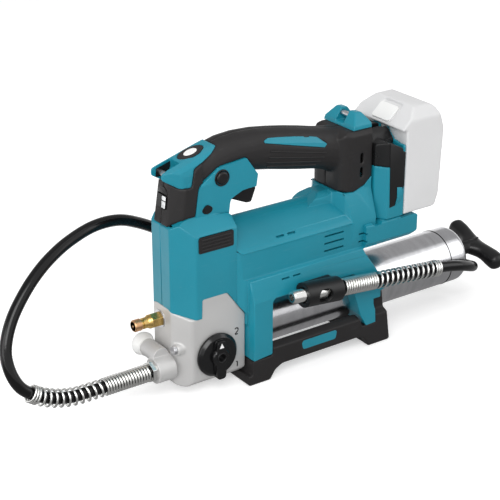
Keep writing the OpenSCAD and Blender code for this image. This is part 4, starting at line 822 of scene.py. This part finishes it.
def make_handle():
    """The T-handle: rounded sections along its bar that swell towards the hub, and the hub itself.

    A section reaches back from the bar's axis, out to a web in front of it, and as far over as back; its
    corners are those of a superellipse, and the bar closes in half an ellipse at each tip."""
    _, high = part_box("rod_handle")
    end_r, waist, length, tip = 9.0, 2.0, 39.0, 7.0
    web_reach, web_width, corner = 12.5, 11.0, 0.85
    centre = np.array([high.x / MM - SHIFT[0] - end_r, 0, BARREL_Z])
    turn = np.radians(15.5)
    bar_run = np.array([0, np.cos(turn), np.sin(turn)])
    bar_over = np.array([0, -np.sin(turn), np.cos(turn)])
    t = length * np.sin(np.linspace(-np.pi / 2, np.pi / 2, 61))
    close = np.sqrt(np.maximum(1 - (np.maximum(np.abs(t) - (length - tip), 0) / tip) ** 2, 0.004))
    back = (end_r - waist * np.cos(np.radians(3.6 * np.minimum(np.abs(t), 25)))) * close
    web = back + web_reach * np.exp(-(t / web_width) ** 2)
    angle = np.linspace(0, 2 * np.pi, 32, endpoint=False)
    out, over = (np.sign(f(angle)) * np.abs(f(angle)) ** corner for f in (np.cos, np.sin))
    along = ((back - web) / 2)[:, None] + ((back + web) / 2)[:, None] * out
    across = back[:, None] * over
    grid = (centre + t[:, None, None] * bar_run + along[..., None] * np.array([1, 0, 0])
            + across[..., None] * bar_over)
    hub_profile = [[0, 3.6], [0, 6.2], [0.8, 7], [9, 7], [14, 7.6], [17, 7.2]]
    hub = lathe(hub_profile, centre - [22, 0, 0], (1, 0, 0), 40)
    slit = bar([centre + [-11, 0, 7.2], centre + [3, 0, 7.2]], 1.0)
    handle = joined("t_handle", [grid, hub])
    settle("t_handle", handle, BLACK, "follower", ["rod_handle"], sharp=50)
    detail("handle_slit", [slit], RUBBER, "black_plastic", "follower")


make_handle()
detail("grip_ribs", both(grip_ribs()), DARK, "dark_plastic")
housing_details()
lamp_details()
strap_slot_painted_shade()
pump_details()
holder_details()

# Stage: pale floor, soft light and the camera

LAMP_TARGET = Vector((0, 0, 0.1))
# Strength of the floor's own glow to the camera, and of the world's light on the object
FLOOR_GLOW, WORLD_LIGHT = 0.45, 0.4


def soft_lamp(name, position, size, power):
    """A square area lamp that faces the middle of the gun."""
    data = bpy.data.lights.new(name, "AREA")
    data.size = size
    data.energy = power
    lamp = bpy.data.objects.new(name, data)
    bpy.context.scene.collection.objects.link(lamp)
    lamp.location = position
    lamp.rotation_euler = (LAMP_TARGET - Vector(position)).to_track_quat("-Z", "Y").to_euler()


def seen_rays(tree):
    """One for rays from the camera, also by way of gloss or glass, and nought for the light on the object."""
    path = tree.nodes.new("ShaderNodeLightPath")
    return sums(tree, "MAXIMUM", path.outputs["Is Camera Ray"],
                sums(tree, "MAXIMUM", path.outputs["Is Glossy Ray"], path.outputs["Is Transmission Ray"]))


def stage_sheet(name, paint, low, high, level):
    """A level sheet of the stage from a low to a high corner [x, y]."""
    (x0, y0), (x1, y1) = low, high
    corners = [(x0, y0, level), (x1, y0, level), (x1, y1, level), (x0, y1, level)]
    mesh = bpy.data.meshes.new(name)
    mesh.from_pydata(corners, [], [(0, 1, 2, 3)])
    mesh.materials.append(paint)
    sheet = bpy.data.objects.new(name, mesh)
    bpy.context.scene.collection.objects.link(sheet)
    return sheet


def stage_paint(name, colour, roughness):
    """A plain matt paint that can give off white light."""
    paint, tree, shader = new_finish(name)
    shader.inputs["Base Color"].default_value = (colour, colour, colour, 1)
    shader.inputs["Roughness"].default_value = roughness
    shader.inputs["Emission Color"].default_value = (1, 1, 1, 1)
    return paint, tree, shader.inputs["Emission Strength"]


def shade_card(name, low, high, level, grey):
    """A grey card that only reflections show, so that polished metal has bands of shade."""
    paint, _, glow = stage_paint(name, 0, 1.0)
    glow.default_value = grey
    card = stage_sheet(name, paint, low, high, level)
    card.visible_camera = card.visible_diffuse = card.visible_transmission = card.visible_shadow = False


def make_stage():
    """Floor, world and lamps: the background is white to the camera and in reflections."""
    paint, tree, glow = stage_paint("floor_paint", 0.85, 0.9)
    tree.links.new(spread(tree, seen_rays(tree), 0.0, FLOOR_GLOW, 0.0, 1.0), glow)
    stage_sheet("floor", paint, (-4, -4), (4, 6), -0.0005)
    world = bpy.data.worlds.new("studio")
    bpy.context.scene.world = world
    world.use_nodes = True
    tree = world.node_tree
    background = tree.nodes["Background"]
    background.inputs["Color"].default_value = (1, 1, 1, 1)
    tree.links.new(spread(tree, seen_rays(tree), WORLD_LIGHT, 1.0, 0.0, 1.0), background.inputs["Strength"])
    shade_card("card_overhead", (-3, -0.3), (4, 5), 1.6, 0.4)
    shade_card("card_floor", (-0.9, -1.2), (1.6, 0.1), 0.001, 0.26)
    soft_lamp("key", (-1.1, -1.3, 1.4), 1.2, 24)
    soft_lamp("front", (-1.7, -0.3, 0.6), 1.0, 7)
    soft_lamp("fill", (1.4, -1.0, 0.9), 1.2, 6)
    soft_lamp("top", (0.1, 0.3, 1.8), 1.4, 10)


def make_camera():
    """The camera at the photograph's angle: 35 degrees round to the left and 24 degrees above the floor."""
    data = bpy.data.cameras.new("camera")
    data.lens = 103.3
    data.sensor_width = 36.0
    data.clip_start = 0.05
    camera = bpy.data.objects.new("camera", data)
    bpy.context.scene.collection.objects.link(camera)
    towards_camera = Vector((-0.527, -0.748, 0.4035))
    camera.location = place([-646.9, -1011.1, 663.6])
    camera.rotation_euler = towards_camera.to_track_quat("Z", "Y").to_euler()
    bpy.context.scene.camera = camera
    bpy.context.scene.view_settings.view_transform = "Standard"


make_stage()
make_camera()
